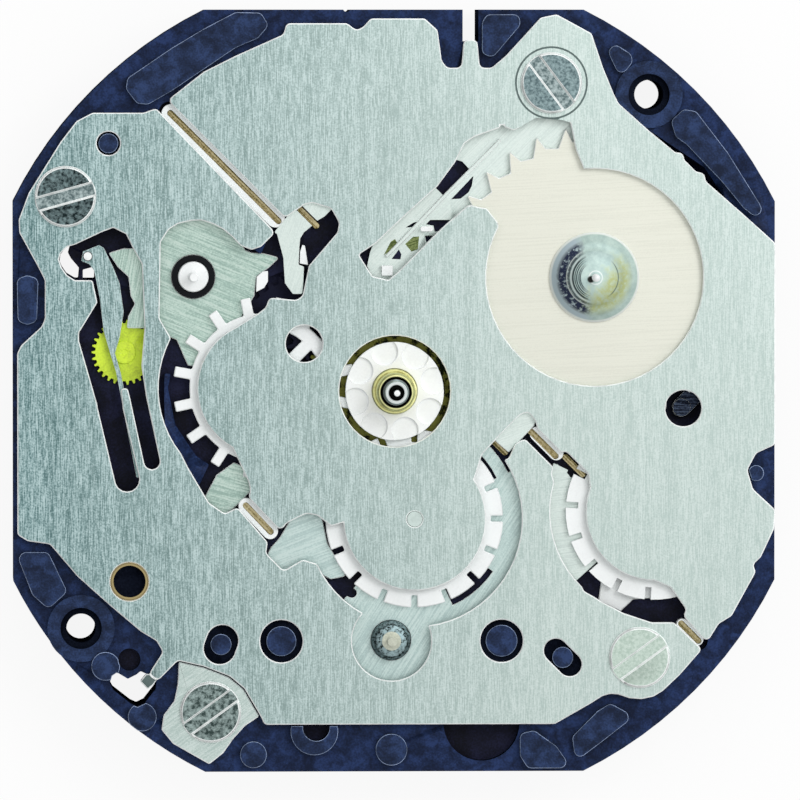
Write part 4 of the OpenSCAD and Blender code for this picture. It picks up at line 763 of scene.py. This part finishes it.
class MOVEMENT_OT_screws(Operator):
    """Dresses the slotted screws of the dial side and the studs"""

    bl_idname = "movement.screws"
    bl_label = "Screws and studs"

    def execute(self, context):
        edges, tones = context.scene.movement_edges, context.scene.movement_colours
        slot_floor, polished = 4, 5
        # The four screws are alike: their faces go from dark on the left to pale on the right, painted shade
        # and painted light as on the plates, over their own etched pits
        faces = [
            pitted_steel("Screw_etched_left", from_hex("7F9496"), from_hex("1F2B2D")),
            pitted_steel("Screw_etched_top", from_hex("99AFB1"), from_hex("5C7074"), pit=0.1),
            pitted_steel("Screw_etched_right", from_hex("D6E6DC"), from_hex("B9CDC1"), pit=0.1),
            pitted_steel("Screw_etched_bottom", from_hex("A6B9B6"), from_hex("3E4E4C")),
            pitted_steel("Screw_slot_milled", from_hex("B4C4C4"), from_hex("5E7072")),
            cut_edge("Screw_polished", tuple(tones.cut_edge)),
        ]

        def pick(look):
            near = min(range(4), key=lambda k: math.dist((look.x, look.y), SCREW_PLACES[k]))
            top = BRACKET_SLOT_TOP if near == BOTTOM_SCREW else PLATE_SLOT_TOP
            return slot_floor if near != RIGHT_SCREW and look.up > FACES_UP and look.z < top else near

        trimmed("plate_screws", edges.screw, faces, pick, edge_slot=polished, clamp=False)
        trimmed("wheel_studs", edges.gear, [cut_edge("Stud_steel", tuple(tones.plate_lit))])
        return {"FINISHED"}


class MOVEMENT_OT_train(Operator):
    """Dresses the gear train, the motor, the coil and the bridge"""

    bl_idname = "movement.train"
    bl_label = "Train and motor"

    def execute(self, context):
        tones = context.scene.movement_colours
        brass = turned_metal("Brass_wheel_blank", tuple(tones.brass), roughness=0.3)
        for node in ("third_wheel", "fifth_wheel"):
            finish_node(node, brass)
        finish_node("rotor", turned_metal("Rotor_steel", tuple(tones.steel), centre=(-0.7, -3.74)))
        finish_node("magnet", moulded("Samarium_magnet_sintered", from_hex("4A4C50"), roughness=0.5))
        iron = brushed_sheet(
            "Soft_iron_annealed", [from_hex(t) for t in ("6C7577", "9AA3A5", "B9C0C0")], angle=20
        )
        finish_node("stator", iron)
        finish_node("coil_core", iron)
        finish_node("coil_winding", wound_wire("Copper_wire_enamelled", tuple(tones.copper)))
        finish_node("train_bridge", moulded("Bridge_moulded", from_hex("2A2E38")))
        return {"FINISHED"}


class MOVEMENT_OT_power(Operator):
    """Dresses the cell, its contact, the board, the chip and the crystal"""

    bl_idname = "movement.power"
    bl_label = "Cell and circuit"

    def execute(self, context):
        tones = context.scene.movement_colours
        steel = tuple(tones.steel)
        finish_node("button_cell", turned_metal("Cell_can_drawn", steel, centre=(-2, 6.8), contrast=0.15))
        finish_node("cell_contact", cut_edge("Contact_brass", tuple(tones.brass)))
        finish_node("circuit_board", moulded("Board_solder_mask", from_hex("1F5C40"), roughness=0.3))
        finish_node("chip", moulded("Chip_epoxy", from_hex("141416"), roughness=0.5))
        finish_node("crystal", turned_metal("Crystal_can_drawn", steel, centre=(7.6, -5.4), contrast=0.1))
        return {"FINISHED"}


class MOVEMENT_OT_setting(Operator):
    """Dresses the setting lever, the yoke and the clutch pinion"""

    bl_idname = "movement.setting"
    bl_label = "Setting work"

    def execute(self, context):
        edges, tones = context.scene.movement_edges, context.scene.movement_colours
        # The setting lever and yoke lie inside the movement, and their dark tones are painted shade
        steel = brushed_sheet(
            "Setting_steel_oiled", [from_hex(t) for t in ("10131C", "232A3A", "4A5568")], angle=0
        )
        for node in ("setting_lever", "yoke"):
            edge = cut_edge("Setting_edge_" + node, tuple(tones.cut_edge))
            trimmed(node, edges.lever, [steel, edge], edge_slot=1)
        finish_node("clutch_pinion", turned_metal("Clutch_steel", tuple(tones.steel)))
        return {"FINISHED"}


class MOVEMENT_OT_back(Operator):
    """Dresses the back cover and its screws"""

    bl_idname = "movement.back"
    bl_label = "Back cover"

    def execute(self, context):
        edges, tones = context.scene.movement_edges, context.scene.movement_colours
        sheet = brushed_sheet(
            "Cover_steel_brushed", [from_hex(t) for t in ("8C9594", "BFC6C4", "DADFDD")], angle=0, streak=0.06
        )
        edge = cut_edge("Cover_steel_edge", tuple(tones.cut_edge))
        trimmed("back_cover", edges.back, [sheet, edge], edge_slot=1)
        face = pitted_steel("Back_screw_etched", from_hex("C5CCCC"), from_hex("7E898B"))
        trimmed("back_screws", edges.screw, [face, edge], edge_slot=1)
        return {"FINISHED"}


class MOVEMENT_OT_studio(Operator):
    """Sets the pale floor, the soft lights and the camera"""

    bl_idname = "movement.studio"
    bl_label = "Studio"

    def execute(self, context):
        studio = context.scene.movement_studio
        # A sheet 0.6 m wide, a hair under the back cover
        bpy.ops.mesh.primitive_plane_add(size=0.6, location=(0, 0, -0.02 * MM))
        floor = context.object
        floor.name = "Studio_floor"
        material, tree, shader = blank("Paper_sweep_white", Roughness=0.9)
        shader.inputs["Base Color"].default_value = rgba(from_hex("FFFFFF"), 0.9)
        path = add_node(tree, "ShaderNodeLightPath")
        seen = path.outputs["Is Camera Ray"]
        for way in ("Is Glossy Ray", "Is Transmission Ray"):
            either = add_node(tree, "ShaderNodeMath", {0: seen, 1: path.outputs[way]}, operation="MAXIMUM")
            seen = either.outputs[0]
        # A tenth of the paper's own shade stays, which keeps the movement's shadow
        share = add_node(tree, "ShaderNodeMath", {0: seen, 1: 0.9}, operation="MULTIPLY").outputs[0]
        glow = add_node(tree, "ShaderNodeEmission", {"Color": (1, 1, 1, 1), "Strength": 1.0})
        mix = add_node(tree, "ShaderNodeMixShader", {0: share, 1: shader.outputs[0], 2: glow.outputs[0]})
        tree.links.new(mix.outputs[0], tree.nodes["Material Output"].inputs["Surface"])
        floor.data.materials.append(material)

        world = bpy.data.worlds.new("Studio_sky")
        context.scene.world = world
        world.use_nodes = True
        tree = world.node_tree
        way = add_node(tree, "ShaderNodeTexCoord").outputs["Generated"]
        side = add_node(tree, "ShaderNodeSeparateXYZ", {0: way})
        # The room is dimmer on the left, as beside a dark flag
        level = add_node(
            tree, "ShaderNodeMapRange",
            {
                "Value": side.outputs["X"], "From Min": -0.9, "From Max": 0.2,
                "To Min": 0.35 * studio.sky, "To Max": studio.sky,
            },
        )
        tree.links.new(level.outputs[0], tree.nodes["Background"].inputs["Strength"])
        tree.nodes["Background"].inputs["Color"].default_value = (1, 1, 1, 1)

        target = Vector((studio.view_x, studio.view_y, 3.0 * MM))
        # Places and widths in mm, powers in watts
        for name, spot, size, power in (
            ("Key_light", (60, 50, 110), 60, studio.key),
            ("Fill_light", (-70, 40, 120), 80, 0.4 * studio.key),
            ("Rim_light", (10, 110, 45), 60, 0.3 * studio.key),
        ):
            lamp = bpy.data.lights.new(name, "AREA")
            lamp.size = size * MM
            lamp.energy = power
            lamp_object = bpy.data.objects.new(name, lamp)
            lamp_object.location = Vector(spot) * MM
            lamp_object.rotation_euler = (target - lamp_object.location).to_track_quat("-Z", "Y").to_euler()
            context.scene.collection.objects.link(lamp_object)

        camera = bpy.data.cameras.new("Camera")
        camera.sensor_width = 36
        camera.lens = camera.sensor_width * studio.distance / studio.view_width
        camera.clip_start = 0.02
        camera.clip_end = 5
        camera_object = bpy.data.objects.new("Camera", camera)
        context.scene.collection.objects.link(camera_object)
        # The camera looks almost straight down, from a little towards the upper left
        aside, above = math.sin(studio.lean), math.cos(studio.lean)
        back = Vector((-0.76 * aside, 0.65 * aside, above)).normalized()
        across = Vector((0, 1, 0)).cross(back).normalized()
        turn = Matrix((across, back.cross(across), back)).transposed().to_4x4()
        camera_object.matrix_world = Matrix.Translation(target + back * studio.distance) @ turn
        context.scene.camera = camera_object
        context.scene.view_settings.view_transform = "Standard"
        return {"FINISHED"}


STEPS = (
    MOVEMENT_OT_case, MOVEMENT_OT_plates, MOVEMENT_OT_levers, MOVEMENT_OT_resin, MOVEMENT_OT_date,
    MOVEMENT_OT_hands, MOVEMENT_OT_screws, MOVEMENT_OT_train, MOVEMENT_OT_power, MOVEMENT_OT_setting,
    MOVEMENT_OT_back, MOVEMENT_OT_studio,
)


class MOVEMENT_PT_panel(Panel):
    """Lists the sizes, the colours and the steps of the dressing"""

    bl_idname = "MOVEMENT_PT_panel"
    bl_label = "Watch movement"
    bl_space_type = "VIEW_3D"
    bl_region_type = "UI"
    bl_category = "Movement"

    def draw(self, context):
        for title, group in (
            ("Edges", context.scene.movement_edges),
            ("Colours", context.scene.movement_colours),
            ("Studio", context.scene.movement_studio),
        ):
            box = self.layout.box()
            box.label(text=title)
            for key in group.__annotations__:
                box.prop(group, key)
        for step in STEPS:
            self.layout.operator(step.bl_idname)


CLASSES = (MovementEdges, MovementColours, MovementStudio, *STEPS, MOVEMENT_PT_panel)


def register():
    for kind in CLASSES:
        bpy.utils.register_class(kind)
    bpy.types.Scene.movement_edges = PointerProperty(type=MovementEdges)
    bpy.types.Scene.movement_colours = PointerProperty(type=MovementColours)
    bpy.types.Scene.movement_studio = PointerProperty(type=MovementStudio)


def unregister():
    del bpy.types.Scene.movement_studio
    del bpy.types.Scene.movement_colours
    del bpy.types.Scene.movement_edges
    for kind in reversed(CLASSES):
        bpy.utils.unregister_class(kind)


def main():
    register()
    for step in STEPS:
        group, name = step.bl_idname.split(".")
        getattr(getattr(bpy.ops, group), name)()


if __name__ == "__main__":
    main()
